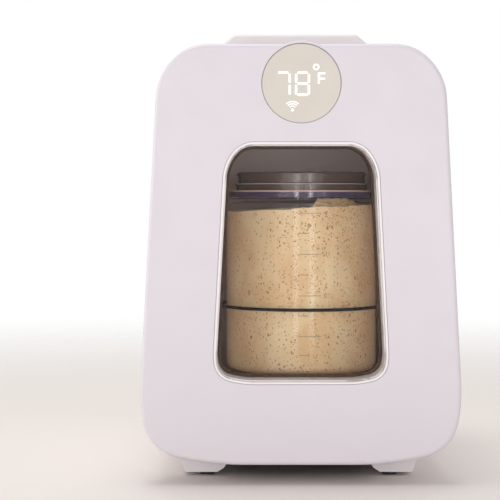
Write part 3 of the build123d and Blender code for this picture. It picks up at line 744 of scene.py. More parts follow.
@dataclass(frozen=True)
class FoamCore(Finish):
    """Cast foam with small open pores."""

    colour: Colour

    def wire(self, bench: NodeBench) -> Socket:
        """Wires the nodes.

        Args:
            bench: The material's bench.

        Returns:
            The shader output.
        """
        pore = bench.cells(bench.place(), scale=700.0).outputs["Distance"]
        shade = bench.levels(pore, 0.1, 0.5)
        colour = bench.blend(shade, scaled(self.colour, 0.72), self.colour)
        normal = bench.bump(shade, depth=0.0003, strength=0.6)
        return bench.principled({"Base Color": colour, "Roughness": 0.85, "Normal": normal})


@dataclass(frozen=True)
class PrintedBoard(Finish):
    """Solder-masked board with copper runs under the mask."""

    mask: Colour = tone(24, 92, 52)

    def wire(self, bench: NodeBench) -> Socket:
        """Wires the nodes.

        Args:
            bench: The material's bench.

        Returns:
            The shader output.
        """
        settings = {"feature": "DISTANCE_TO_EDGE", "distance": "EUCLIDEAN"}
        inputs = {"Vector": bench.place(), "Scale": 260.0}
        runs = bench.node("ShaderNodeTexVoronoi", settings, inputs)
        shade = bench.levels(runs.outputs["Distance"], 0.03, 0.09)
        colour = bench.blend(shade, scaled(self.mask, 1.9), self.mask)
        normal = bench.bump(shade, depth=0.00005, strength=0.5)
        polish = bench.levels(shade, 0.0, 1.0, to_low=0.25, to_high=0.38)
        inputs = {"Base Color": colour, "Roughness": polish, "Normal": normal}
        return bench.principled(inputs | {"Coat Weight": 0.3})


@dataclass(frozen=True)
class StudioPaper(Finish):
    """Pale paper, faintly mottled, that fades out away from the warmer (distances in metres)."""

    colour: Colour = tone(246, 239, 234)
    solid_to: float = 0.35
    gone_at: float = 1.3

    def wire(self, bench: NodeBench) -> Socket:
        """Wires the nodes.

        Args:
            bench: The material's bench.

        Returns:
            The shader output.
        """
        place = bench.place()
        cloud = bench.noise(place, scale=3.0, detail=3.0)
        colour = bench.shades(cloud, self.colour, 0.985, 1.01)
        away = bench.node("ShaderNodeVectorMath", {"operation": "LENGTH"}, {0: place})
        sheet = bench.levels(
            away.outputs["Value"], self.solid_to, self.gone_at, to_low=1.0, to_high=0.0
        )
        inputs = {"Base Color": colour, "Roughness": 0.55, "Alpha": sheet}
        return bench.principled(inputs)


@dataclass
class Palette:
    """Every finish by the record's name of its slot."""

    finishes: dict[str, Finish] = field(
        default_factory=lambda: {
            "door_white": MouldedPlastic(
                tone(215, 209, 216), roughness=0.42, grain=1500.0, depth=0.00003, mottle=0.012
            ),
            "casing_white": MouldedPlastic(
                tone(227, 221, 223), roughness=0.45, grain=1200.0, depth=0.00004, mottle=0.015
            ),
            "inner_door_white": MouldedPlastic(tone(229, 224, 227), roughness=0.48),
            "bezel_white": MouldedPlastic(
                tone(236, 231, 232), roughness=0.3, grain=1800.0, depth=0.00001, mottle=0.01
            ),
            "foot_rubber": SoftRubber(tone(42, 40, 40)),
            "seal_rubber": SoftRubber(tone(196, 192, 192), roughness=0.6, dust=0.2),
            "band_rubber": SoftRubber(tone(20, 18, 17), roughness=0.8, dust=0.02),
            # The pane seal is a real part; its dark brown is painted shade of the window's tunnel.
            "pane_seal_rubber": SoftRubber(tone(70, 50, 39), roughness=0.6, dust=0.05),
            "lid_seal_silicone": SoftRubber(tone(210, 208, 204), roughness=0.45, dust=0.05),
            "screw_steel": WorkedMetal(tone(176, 174, 172), roughness=0.32, scale=1400.0),
            "hinge_steel": WorkedMetal(
                tone(186, 185, 184), roughness=0.28, marks=(1.0, 1.0, 0.1), scale=1100.0
            ),
            "magnet_nickel": WorkedMetal(tone(200, 198, 192), roughness=0.2),
            "liner_grey": MouldedPlastic(
                tone(234, 216, 210), roughness=0.5, grain=900.0, depth=0.00005, mottle=0.03
            ),
            "foam_cream": FoamCore(tone(226, 215, 182)),
            "rack_chrome": WorkedMetal(
                tone(205, 205, 207), roughness=0.14, scale=700.0, depth=0.00001
            ),
            "sink_aluminium": WorkedMetal(
                tone(190, 191, 194), roughness=0.34, marks=(1.0, 1.0, 0.05), scale=1300.0
            ),
            "module_ceramic": MouldedPlastic(
                tone(235, 233, 226), roughness=0.55, grain=2000.0, depth=0.00004, mottle=0.02
            ),
            "fan_black": MouldedPlastic(
                tone(34, 34, 36), roughness=0.42, grain=1400.0, depth=0.00003, mottle=0.06
            ),
            "board_green": PrintedBoard(),
            "inlet_black": MouldedPlastic(
                tone(24, 24, 25), roughness=0.36, grain=1600.0, depth=0.00003, mottle=0.06
            ),
            "led_black": MouldedPlastic(
                tone(28, 27, 27), roughness=0.5, grain=1600.0, depth=0.00002, mottle=0.05
            ),
            "probe_steel": WorkedMetal(
                tone(196, 196, 196), roughness=0.22, marks=(0.1, 1.0, 0.1), scale=1200.0
            ),
            "display_beige": LitDisc(),
            "window_glass": ClearGlass(
                clear=(0.99, 0.99, 0.99),
                edge=(0.3, 0.3, 0.32),
                edge_from=0.8,
                mirror=0.006,
                roughness=0.01,
            ),
            "jar_glass": ClearGlass(
                clear=(0.99, 0.985, 0.98),
                edge=(0.74, 0.66, 0.62),
                edge_from=0.82,
                mirror=0.015,
                roughness=0.1,
                rim=0.3,
            ),
            "starter": RisenDough(),
            "lid_plastic": SmokedLid(),
        }
    )
    made: dict[str, Material] = field(default_factory=dict)

    def get(self, slot: str) -> Material:
        """The material of a slot, made on first use.

        Args:
            slot: The record's slot name.

        Returns:
            The material.
        """
        if slot not in self.made:
            self.made[slot] = self.finishes[slot].build(f"finish_{slot}")
        return self.made[slot]

    def dress(self, node: Piece) -> None:
        """Gives a CAD node the finish of its slot.

        Args:
            node: The frame's object.
        """
        for holder in node.material_slots:
            holder.material = self.get(holder.material.name.split(".")[0])


# Making pieces
def as_piece(name: str, form: Form, smooth_below: float = 35.0) -> Piece:
    """Turns a bmesh into an object, smooth where its faces meet at less than an angle.

    Args:
        name: The piece's name.
        form: The finished form, freed here.
        smooth_below: Angle in degrees.

    Returns:
        The object, at the origin.
    """
    bmesh.ops.remove_doubles(form, verts=form.verts, dist=1e-7)
    bmesh.ops.recalc_face_normals(form, faces=form.faces)
    for face in form.faces:
        face.smooth = True
    limit = math.radians(smooth_below)
    for edge in form.edges:
        edge.smooth = len(edge.link_faces) == 2 and edge.calc_face_angle() < limit
    mesh = bpy.data.meshes.new(name)
    form.to_mesh(mesh)
    form.free()
    piece = bpy.data.objects.new(name, mesh)
    bpy.context.scene.collection.objects.link(piece)
    return piece


def soften(
    form: Form,
    parts: Sequence[bmesh.types.BMEdge | bmesh.types.BMVert],
    offset: float,
    segments: int,
    affect: str = "EDGES",
) -> None:
    """Rounds edges or corners.

    Args:
        form: The form.
        parts: Its edges, or its vertices for corners.
        offset: How far they are cut.
        segments: Steps of each rounding.
        affect: EDGES or VERTICES.
    """
    settings = {"offset_type": "OFFSET", "profile": 0.5, "material": -1, "affect": affect}
    bmesh.ops.bevel(form, geom=parts, offset=offset, segments=segments, **settings)


def add_box(
    form: Form, size: Sequence[float], middle: Sequence[float]
) -> list[bmesh.types.BMVert]:
    """Adds an upright box.

    Args:
        form: The form to add to.
        size: Its size along x, y and z.
        middle: Its centre.

    Returns:
        Its corners.
    """
    made = bmesh.ops.create_cube(form, size=1.0)["verts"]
    bmesh.ops.scale(form, verts=made, vec=size)
    bmesh.ops.translate(form, verts=made, vec=middle)
    return made


def thicken(form: Form, rise: float, closed: bool = False) -> None:
    """Gives flat faces a thickness along z.

    Args:
        form: The flat form.
        rise: The thickness.
        closed: Keeps the lower faces too.
    """
    made = bmesh.ops.extrude_face_region(form, geom=form.faces[:], use_keep_orig=closed)
    lifted = [item for item in made["geom"] if isinstance(item, bmesh.types.BMVert)]
    bmesh.ops.translate(form, verts=lifted, vec=(0, 0, rise))


def fit_out(
    piece: Piece,
    body: Body,
    material: Material,
    stands_for: Sequence[str] = (),
) -> Piece:
    """Gives a piece its finish and its body.

    Args:
        piece: The piece.
        body: The body it moves with.
        material: Its finish.
        stands_for: CAD nodes that it replaces.

    Returns:
        The same piece.
    """
    piece.data.materials.clear()
    piece.data.materials.append(material)
    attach(piece, body.value)
    if stands_for:
        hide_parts(*stands_for)
    LOG.info("made %s on %s, %d faces", piece.name, body.value, len(piece.data.polygons))
    return piece


def arc_steps(count: int, whole: float = QUARTER) -> list[float]:
    """Angles over a turn.

    Args:
        count: How many steps to a quarter.
        whole: The turn in radians, a quarter unless given.

    Returns:
        The angles in radians, from 0 to the turn.
    """
    steps = round(count * whole / QUARTER)
    return [whole * k / steps for k in range(steps + 1)]


def spun(profile: Iterable[Pair], steps: int) -> Form:
    """A form turned about the z axis from radius and height pairs in millimetres.

    Args:
        profile: The closed or open profile.
        steps: Steps round.

    Returns:
        The form in metres.
    """
    form = bmesh.new()
    points = [form.verts.new((radius * MM, 0.0, height * MM)) for radius, height in profile]
    edges = [form.edges.new(pair) for pair in zip(points, points[1:])]
    bmesh.ops.spin(
        form,
        geom=points + edges,
        cent=(0, 0, 0),
        axis=(0, 0, 1),
        angle=math.tau,
        steps=steps,
        use_merge=True,
    )
    bmesh.ops.remove_doubles(form, verts=form.verts, dist=1e-6)
    return form


def to_metres(form: Form) -> None:
    """Scales a form from millimetres."""
    bmesh.ops.scale(form, verts=form.verts, vec=(MM, MM, MM))


def to_jar_axis(form: Form) -> None:
    """Moves a form in metres from the origin to the jar's axis."""
    x, y = JAR_AXIS
    bmesh.ops.translate(form, verts=form.verts, vec=(x * MM, y * MM, 0))


# Sub-assemblies
@dataclass
class SubAssembly:
    """Pieces of the warmer that are dressed and completed together."""

    nodes: tuple[str, ...] = ()

    def dress(self, frame_nodes: dict[str, Piece], palette: Palette) -> None:
        """Gives the CAD pieces their finishes.

        Args:
            frame_nodes: The frame's objects by node name.
            palette: The finishes.
        """
        for name in self.nodes:
            palette.dress(frame_nodes[name])
            LOG.info("dressed %s", name)

    def build(self, palette: Palette) -> None:
        """Adds the pieces that the CAD leaves to the scene; none here.

        Args:
            palette: The finishes; not used.
        """


@dataclass
class Casing(SubAssembly):
    """Shell, stand, handle and chamber."""

    nodes: tuple[str, ...] = (
        "outer_shell",
        "front_frame",
        "base_plinth",
        "rubber_feet",
        "chamber_liner",
        "insulation_foam",
        "wire_rack",
        "rear_cover",
        "carry_handle",
        "strike_plates",
        "temperature_probe",
    )
    # A dark pad under the arch: painted shade, a dark sheet put where there is only shadow.
    felt_low: Triple = (-43.5, -77.0, 11.2)
    felt_high: Triple = (43.5, 101.0, 12.0)
    felt_corner: float = 5.0
    felt: Finish = SoftRubber(tone(34, 30, 28), roughness=0.9, dust=0.1)

    def build(self, palette: Palette) -> None:
        """Makes the dark pad under the arch, a sheet of painted shade that deepens the shadow
        there.

        Args:
            palette: The finishes; not used.
        """
        low, high = Vector(self.felt_low), Vector(self.felt_high)
        form = bmesh.new()
        add_box(form, high - low, (low + high) / 2)
        uprights = [e for e in form.edges if abs(e.verts[0].co.z - e.verts[1].co.z) > 0.1]
        soften(form, uprights, self.felt_corner, segments=6)
        to_metres(form)
        # The pad's dark colour is painted shade under the arch.
        felt = self.felt.build("finish_felt")
        fit_out(as_piece("underside_shade_pad", form), Body.HOUSING, felt)


@dataclass
class CoolingUnit(SubAssembly):
    """Heating and cooling module, its sinks and the fan."""

    nodes: tuple[str, ...] = (
        "cold_sink",
        "peltier_module",
        "hot_heatsink",
        "clamp_screws",
        "fan_frame",
        "fan_rotor",
    )


@dataclass
class DriverBoard(SubAssembly):
    """Driver board with its small parts, and the inlet, in millimetres."""

    nodes: tuple[str, ...] = ("power_board", "dc_inlet")
    face_y: float = 103.0
    chip_edge: float = 0.15
    chips: tuple[Chip, ...] = (
        Chip(x=6.0, z=36.0, width=5.0, height=4.0, rise=1.1),
        Chip(x=22.0, z=37.0, width=6.0, height=6.0, rise=1.2),
        Chip(x=24.0, z=49.0, width=3.0, height=2.0, rise=0.9),
        Chip(x=24.0, z=54.0, width=3.0, height=2.0, rise=0.9),
        Chip(x=42.0, z=64.0, width=3.0, height=2.0, rise=0.9),
        Chip(x=47.0, z=64.0, width=3.0, height=2.0, rise=0.9),
        Chip(x=60.0, z=44.0, width=5.0, height=6.0, rise=1.3),
    )

    def build(self, palette: Palette) -> None:
        """Sets the small black parts on the board's front.

        Args:
            palette: The finishes.
        """
        form = bmesh.new()
        for chip in self.chips:
            middle = (chip.x, self.face_y - chip.rise / 2, chip.z)
            add_box(form, (chip.width, chip.rise, chip.height), middle)
        soften(form, form.edges[:], self.chip_edge, segments=2)
        to_metres(form)
        fit_out(as_piece("board_chips", form), Body.HOUSING, palette.get("led_black"))


@dataclass
class Door(SubAssembly):
    """Both mouldings of the door with window, seal, hinge and catches."""

    nodes: tuple[str, ...] = (
        "door_outer_panel",
        "door_inner_panel",
        "door_insulation",
        "window_bezel",
        "outer_window_pane",
        "inner_window_pane",
        "pane_seal",
        "door_gasket",
        "hinge_pins",
        "hinge_brackets",
        "door_magnets",
    )


@dataclass
class Display(SubAssembly):
    """The lit digits, unit and wireless sign on the round lens, in millimetres from its centre."""

    nodes: tuple[str, ...] = (
        "display_board",
        "led_module",
        "tactile_switch",
        "display_lens",
        "switch_stem",
    )
    centre_z: float = 262.5
    face_y: float = -114.6
    rise: float = 0.12
    stroke: float = 1.52
    corner: float = 1.6
    corner_high: float = 0.94
    taper: float = 0.62
    gap_upper: float = 0.5
    gap_lower: float = 0.7
    gap_foot: float = 0.9
    seven: Area = Area(left=-15.0, right=-6.85, low=-8.2, high=7.65)
    seven_taper: float = 0.35
    eight: Area = Area(left=-4.25, right=5.6, low=-8.2, high=7.65)
    ring: Pair = (9.5, 10.5)
    ring_radii: Pair = (1.15, 2.1)
    ring_steps: int = 40
    letter: Area = Area(left=10.6, right=15.5, low=-0.3, high=7.0)
    letter_stem: float = 1.4
    letter_arm: float = 1.2
    letter_bar: Pair = (3.45, 4.6)
    letter_short: float = 0.2
    letter_taper: float = 0.2
    sign: Pair = (-5.85, -17.3)
    sign_arcs: tuple[Pair, ...] = ((2.5, 0.6), (4.0, 0.62), (5.5, 0.66))
    sign_span: float = 46.0
    sign_steps: int = 18
    sign_dot: float = 0.9
    lip_radii: Pair = (25.8, 26.08)
    lip_depths: Pair = (113.2, 114.6)
    lip_steps: int = 96
    lip_lean: float = 0.055

    @staticmethod
    def upright() -> Matrix:
        """The turn from lying flat to facing the front."""
        return Matrix.Rotation(QUARTER, 4, "X")

    def add_lip(self, palette: Palette) -> None:
        """Makes the pale dust lip deep in the gap round the lens.

        Args:
            palette: The finishes.
        """
        (inner, outer), (deep, shallow) = self.lip_radii, self.lip_depths
        section = [(inner, deep), (outer, deep), (outer, shallow), (inner, shallow), (inner, deep)]
        form = spun(section, self.lip_steps)
        for vert in form.verts:
            vert.co.z -= self.lip_lean * (vert.co.y + outer * MM) / 2
        shift = Matrix.Translation((0, 0, self.centre_z * MM))
        bmesh.ops.transform(form, matrix=shift @ self.upright(), verts=form.verts)
        fit_out(as_piece("dust_lip", form), Body.DOOR, palette.get("seal_rubber"))

    def outline(self, form: Form, points: Sequence[Pair], ends: float) -> None:
        """Adds one flat shape with softened corners.

        Args:
            form: The form to add to.
            points: Its corners, counter-clockwise.
            ends: How far the corners are cut.
        """
        corners = [form.verts.new((*point, 0.0)) for point in points]
        form.faces.new(corners)
        soften(form, corners, ends, segments=3, affect="VERTICES")

    def plate(self, form: Form, x_range: Pair, z_range: Pair, ends: float) -> None:
        """Adds one flat bar with softened ends.

        Args:
            form: The form to add to.
            x_range: Left and right.
            z_range: Bottom and top.
            ends: How far the corners are cut.
        """
        (left, right), (low, high) = x_range, z_range
        self.outline(form, [(left, low), (right, low), (right, high), (left, high)], ends)

    def unit(self, form: Form) -> None:
        """Adds the unit's letter as one outline.

        Args:
            form: The form to add to.
        """
        left, right, low, high = self.letter
        stem, tip, arm = left + self.letter_stem, right - self.letter_short, high - self.letter_arm
        bar_high, bar_low = (high - drop for drop in self.letter_bar)
        points = [(left, low), (stem, low), (stem, bar_low), (tip, bar_low), (tip, bar_high)]
        points += [(stem, bar_high), (stem, arm), (right, arm), (right, high), (left, high)]
        self.outline(form, points, self.letter_taper)

    def digit(self, form: Form, area: Area, lit: str) -> None:
        """Adds the lit segments of one digit.

        Args:
            form: The form to add to.
            area: The digit's place.
            lit: Letters a to g of the lit segments.
        """
        left, right, low, high = area
        s, c = self.stroke, self.corner
        middle = (low + high) / 2
        across = (left + c, right - c)
        uppers = (middle + self.gap_upper, high - c * self.corner_high)
        lowers = (low + self.gap_foot, middle - self.gap_lower)
        bars = {
            "a": (across, (high - s, high)),
            "b": ((right - s, right), uppers),
            "c": ((right - s, right), lowers),
            "d": (across, (low, low + s)),
            "e": ((left, left + s), lowers),
            "f": ((left, left + s), uppers),
            "g": (across, (middle - s / 2, middle + s / 2)),
        }
        for letter in lit:
            self.plate(form, *bars[letter], self.taper)

    def arc(self, form: Form, centre: Pair, radii: Pair, span: float) -> None:
        """Adds a strip along an arc that opens upwards, or a full ring.

        Args:
            form: The form to add to.
            centre: The arc's centre.
            radii: Inner and outer radius.
            span: Half its angle in degrees, 180 for a ring.
        """
        half, whole = math.radians(span), span >= 180
        middle, start = Vector((*centre, 0)), Vector((math.sin(-half), math.cos(-half), 0))
        ends = [form.verts.new(middle + radius * start) for radius in radii]
        edge = form.edges.new(ends)
        bmesh.ops.spin(
            form,
            geom=ends + [edge],
            cent=middle,
            axis=(0, 0, -1),
            angle=2 * half,
            steps=self.ring_steps if whole else self.sign_steps,
            use_merge=whole,
        )

    def build(self, palette: Palette) -> None:
        """Makes the lit marks as thin inlays on the lens.

        Args:
            palette: The finishes.
        """
        form = bmesh.new()
        seven = self.seven
        top_bar = (seven.high - self.stroke, seven.high)
        self.plate(form, (seven.left, seven.right - self.corner), top_bar, self.seven_taper)
        self.digit(form, self.seven, "bc")
        self.digit(form, self.eight, "abcdefg")
        self.arc(form, self.ring, self.ring_radii, 180.0)
        self.unit(form)
        for radius, width in self.sign_arcs:
            self.arc(form, self.sign, (radius - width / 2, radius + width / 2), self.sign_span)
        dot = bmesh.ops.create_circle(form, cap_ends=True, segments=24, radius=self.sign_dot)
        bmesh.ops.translate(form, verts=dot["verts"], vec=(*self.sign, 0))
        thicken(form, self.rise)
        shift = Matrix.Translation((0, self.face_y * MM, self.centre_z * MM))
        matrix = shift @ self.upright() @ Matrix.Scale(MM, 4)
        bmesh.ops.transform(form, matrix=matrix, verts=form.verts)
        lit = LitSegment().build("finish_lit")
        fit_out(as_piece("display_marks", form), Body.BUTTON, lit)
        self.add_lip(palette)


@dataclass
class Jar(SubAssembly):
    """The glass jar's moulded marks, its dough and its rubber band, in millimetres."""

    nodes: tuple[str, ...] = ("jar_glass",)
    radius: float = 57.25
    wall: float = 5.25
    marks: tuple[tuple[float, Marking], ...] = (
        (177.7, Marking.CUP),
        (164.1, Marking.HALF_CUP),
        (149.9, Marking.CUP),
        (135.9, Marking.HALF_CUP),
        (121.7, Marking.CUP),
        (108.1, Marking.HALF_CUP),
        (94.1, Marking.CUP),
        (81.3, Marking.HALF_CUP),
    )
    mark_start: float = -4.3
    mark_height: float = 0.45
    mark_rise: float = 0.22
    mark_sunk: float = 0.05
    mark_finish: Finish = SoftRubber(tone(186, 156, 118), roughness=0.4, dust=0.2)
    numeral_size: float = 4.2
    numeral_turn: float = 14.6
    dough_into_glass: float = 1.2
    dough_low: float = 66.5
    dough_heel: float = 6.0
    dough_top: float = 180.0
    dough_swell: float = 30.0
    dough_steps: int = 160
    dough_rows: int = 40
    dough_rings: int = 26
    dough_slope: Pair = (0.046, 1.1)
    dough_lump: float = 0.5
    lump_waves: tuple[Pair, Pair] = ((0.13, 0.6), (0.11, -0.4))
    dough_ripples: tuple[Ripple, ...] = (
        Ripple(height=0.22, by_x=0.42, by_y=0.3, start=0.0),
        Ripple(height=0.16, by_x=0.9, by_y=-0.5, start=1.0),
    )
    smear_x: Pair = (4.5, 41.0)
    smear_z: float = 181.0
    smear_reach: float = 6.7
    smear_least: float = 0.05
    smear_curve: float = 1.5
    smear_begins: Pair = (4.2, 5.0)
    smear_fades: Pair = (30.0, 15.6)
    smear_waves: tuple[Pair, ...] = ((0.3, 0.9), (0.2, 2.3))
    film: float = 0.25
    band_z: float = 112.0
    band_gap: float = 0.02
    band_outer: float = 1.15
    band_half: float = 1.08
    band_corner: float = 0.35
    band_steps: int = 180
    band_wave: Triple = (0.06, 3.0, 0.8)

    def onto_wall(self, form: Form, radius: float) -> None:
        """Wraps a form round the jar: x becomes the angle, y the height and z the way out.

        Args:
            form: The flat form in millimetres.
            radius: Radius on which z = 0 lies.
        """
        for vert in form.verts:
            angle = vert.co.x / radius
            reach = radius + vert.co.z
            x = JAR_AXIS[0] + reach * math.sin(angle)
            y = JAR_AXIS[1] - reach * math.cos(angle)
            vert.co = Vector((x, y, vert.co.y)) * MM

    def bar(self, form: Form, height: float, length: float) -> None:
        """Adds one raised mark, flat, along x.

        Args:
            form: The form to add to.
            height: Its height above the table.
            length: Its length.
        """
        made = bmesh.ops.create_grid(form, x_segments=12, y_segments=1, size=0.5)["verts"]
        bmesh.ops.scale(form, verts=made, vec=(length, self.mark_height, 1.0))
        start = math.radians(self.mark_start) * self.radius
        bmesh.ops.translate(form, verts=made, vec=(start + length / 2, height, 0))

    def numeral(self, text: str, height: float) -> bpy.types.Mesh:
        """A numeral as a flat mesh.

        Args:
            text: The numeral.
            height: Its middle above the table.

        Returns:
            The mesh in millimetres.
        """
        curve = bpy.data.curves.new(f"numeral_{text}", "FONT")
        curve.body = text
        curve.size = self.numeral_size
        curve.align_x = "CENTER"
        curve.align_y = "CENTER"
        writing = bpy.data.objects.new(f"numeral_{text}", curve)
        bpy.context.scene.collection.objects.link(writing)
        mesh = bpy.data.meshes.new_from_object(writing)
        bpy.data.objects.remove(writing)
        bpy.data.curves.remove(curve)
        along = math.radians(self.numeral_turn) * self.radius
        mesh.transform(Matrix.Translation((along, height, 0)))
        return mesh

    def add_marks(self, palette: Palette) -> None:
        """Makes the moulded scale on the jar's front.

        Args:
            palette: The finishes; not used.
        """
        form = bmesh.new()
        for height, marking in self.marks:
            self.bar(form, height, marking.value)
        cups = [height for height, marking in self.marks if marking is Marking.CUP]
        for count, height in enumerate(reversed(cups), start=1):
            mesh = self.numeral(str(count), height)
            form.from_mesh(mesh)
            bpy.data.meshes.remove(mesh)
        thicken(form, self.mark_rise)
        self.onto_wall(form, self.radius - self.mark_sunk)
        finish = self.mark_finish.build("finish_scale")
        fit_out(as_piece("jar_scale", form), Body.JAR, finish)

    def add_dough(self, palette: Palette) -> None:
        """Makes the risen dough with a lumpy, pitted top.

        Args:
            palette: The finishes.
        """
        radius = self.radius - self.wall + self.dough_into_glass
        low, corner, top = self.dough_low, self.dough_heel, self.dough_top
        heel = [
            (radius - corner * (1 - math.sin(a)), low + corner * (1 - math.cos(a)))
            for a in arc_steps(8)
        ]
        rows, rings = self.dough_rows, self.dough_rings
        rise = top - low - corner
        wall = [(radius, low + corner + rise * k / rows) for k in range(1, rows + 1)]
        crown = [(radius * (1 - k / rings), top) for k in range(1, rings + 1)]
        form = spun([(0.0, low)] + heel + wall + crown, self.dough_steps)
        for vert in form.verts:
            x, y, z = vert.co / MM
            share = max(0.0, (z - top + self.dough_swell) / self.dough_swell)
            vert.co.z += share * self.dough_lift(x, y) * MM
        to_jar_axis(form)
        piece = as_piece("risen_dough", form, smooth_below=60.0)
        fit_out(piece, Body.JAR, palette.get("starter"), ["starter_dough"])

    def dough_lift(self, x: float, y: float) -> float:
        """How far the dough's top stands above its lowest level.

        Args:
            x: Place across the jar.
            y: Place along its depth.

        Returns:
            The rise in millimetres.
        """
        slope = self.dough_slope[0] * x + self.dough_slope[1]
        (by_x, from_x), (by_y, from_y) = self.lump_waves
        lumps = self.dough_lump * math.sin(by_x * x + from_x) * math.cos(by_y * y + from_y)
        return slope + lumps + sum(ripple.at(x, y) for ripple in self.dough_ripples)

    def add_smear(self, palette: Palette) -> None:
        """Makes the film of dough on the glass above the dough's right side.

        Args:
            palette: The finishes; not used.
        """
        start, width = self.smear_x
        begins, rises_over = self.smear_begins
        fades, falls_over = self.smear_fades
        form = bmesh.new()
        bmesh.ops.create_grid(form, x_segments=64, y_segments=22, size=0.5)
        for vert in form.verts:
            along, share = start + (vert.co.x + 0.5) * width, vert.co.y + 0.5
            faded = max(0.0, (along - fades) / falls_over) ** self.smear_curve
            reach = self.smear_reach * (1 - faded) * min(1.0, (along - begins) / rises_over)
            reach += sum(height * math.sin(along * turn) for height, turn in self.smear_waves)
            vert.co = (along, self.smear_z + max(self.smear_least, reach) * share, 0.0)
        thicken(form, self.film, closed=True)
        self.onto_wall(form, self.radius - self.wall - self.film)
        piece = as_piece("dough_smear", form)
        fit_out(piece, Body.JAR, GlassSmear().build("finish_smear"))

    def add_band(self, palette: Palette) -> None:
        """Makes the rubber band, which runs in slight waves.

        Args:
            palette: The finishes.
        """
        inner, outer = self.radius + self.band_gap, self.radius + self.band_outer
        half, corner = self.band_half, self.band_corner
        profile = [(inner, -half), (outer - corner, -half), (outer, -half + corner)]
        profile += [(outer, half - corner), (outer - corner, half), (inner, half), (inner, -half)]
        form = spun(profile, self.band_steps)
        height, waves, start = self.band_wave
        for vert in form.verts:
            angle = math.atan2(vert.co.y, vert.co.x)
            vert.co.z += (self.band_z + height * math.sin(waves * angle + start)) * MM
        to_jar_axis(form)
        piece = as_piece("marker_band", form)
        fit_out(piece, Body.JAR, palette.get("band_rubber"), ["jar_band"])

    def build(self, palette: Palette) -> None:
        """Makes everything on and in the jar.

        Args:
            palette: The finishes.
        """
        self.add_marks(palette)
        self.add_dough(palette)
        self.add_smear(palette)
        self.add_band(palette)


@dataclass
class Lid(SubAssembly):
    """The push-on lid and its seal."""

    nodes: tuple[str, ...] = ("jar_lid", "lid_seal")
    # Thin light rings on the lid's ledges: painted highlights on their edges.
    beads: tuple[Bead, ...] = (
        Bead(radius=51.5, middle=192.7, reach=0.4, rise=0.62),
        Bead(radius=46.95, middle=197.7, reach=0.42, rise=0.42),
    )
    bead_steps: int = 144
    # The rings' light peach colour is a painted highlight.
    bead_finish: Finish = MouldedPlastic(
        tone(224, 190, 172), roughness=0.25, grain=1600.0, depth=0.00001, mottle=0.04
    )

    def build(self, palette: Palette) -> None:
        """Makes the light rings round the lid's ledges: painted highlights, shaped as thin rings.

        Args:
            palette: The finishes; not used.
        """
        whole = bmesh.new()
        for bead in self.beads:
            section = [
                (bead.radius + bead.reach * math.cos(a), bead.middle + bead.rise * math.sin(a))
                for a in arc_steps(4, math.tau)
            ]
            ring = spun(section, self.bead_steps)
            to_jar_axis(ring)
            spare = bpy.data.meshes.new("bead")
            ring.to_mesh(spare)
            ring.free()
            whole.from_mesh(spare)
            bpy.data.meshes.remove(spare)
        # Painted highlight colour for the rings.
        finish = self.bead_finish.build("finish_bead")
        piece = as_piece("lid_highlight_rings", whole, smooth_below=80.0)
        fit_out(piece, Body.LID, finish)


@dataclass
class ScrewKind:
    """A pan-head screw with a cross recess, in millimetres."""

    length: float
    shank: float = 1.5
    head: float = 3.0
    height: float = 1.8
    dome: float = 0.7
    rim_share: float = 0.45
    tip_share: float = 0.6
    tip_rise: float = 1.0
    cross: float = 0.75
    cross_reach: float = 1.15
    depth: float = 0.9
    steps: int = 32

    def profile(self) -> list[Pair]:
        """Radius and height pairs from the tip to the top of the head.

        Returns:
            The pairs in millimetres.
        """
        top, tip, rim = self.height, -self.length, self.height * self.rim_share
        dome = [(self.head, 0.0), (self.head, rim)]
        dome += [
            (self.head - self.dome * (1 - math.cos(a)), rim + (top - rim) * math.sin(a))
            for a in arc_steps(5)
        ]
        shank = [(0.0, tip), (self.shank * self.tip_share, tip)]
        shank += [(self.shank, tip + self.tip_rise), (self.shank, 0.0)]
        return shank + dome + [(0.0, top)]

    def cutter(self, name: str) -> Piece:
        """The cross that is cut into the head.

        Args:
            name: The object's name.

        Returns:
            The object, in metres.
        """
        form = bmesh.new()
        for turned in (0.0, QUARTER):
            size = Vector((self.head * self.cross_reach, self.cross, self.depth * 2)) * MM
            made = add_box(form, size, (0.0, 0.0, 0.0))
            bmesh.ops.rotate(form, verts=made, matrix=Matrix.Rotation(turned, 3, "Z"))
        bmesh.ops.translate(form, verts=form.verts, vec=(0, 0, self.height * MM))
        return as_piece(name, form)

    def template(self, name: str) -> Piece:
        """One screw that stands on z = 0 with its head upwards.

        Args:
            name: The object's name.

        Returns:
            The object, in metres.
        """
        body = as_piece(name, spun(self.profile(), self.steps))
        tool = self.cutter(f"{name}_tool")
        cut = body.modifiers.new("recess", "BOOLEAN")
        cut.operation = "DIFFERENCE"
        cut.solver = "EXACT"
        cut.use_self = True
        cut.object = tool
        graph = bpy.context.evaluated_depsgraph_get()
        baked = bpy.data.meshes.new_from_object(body.evaluated_get(graph))
        body.modifiers.clear()
        body.data = baked
        bpy.data.objects.remove(tool)
        return body


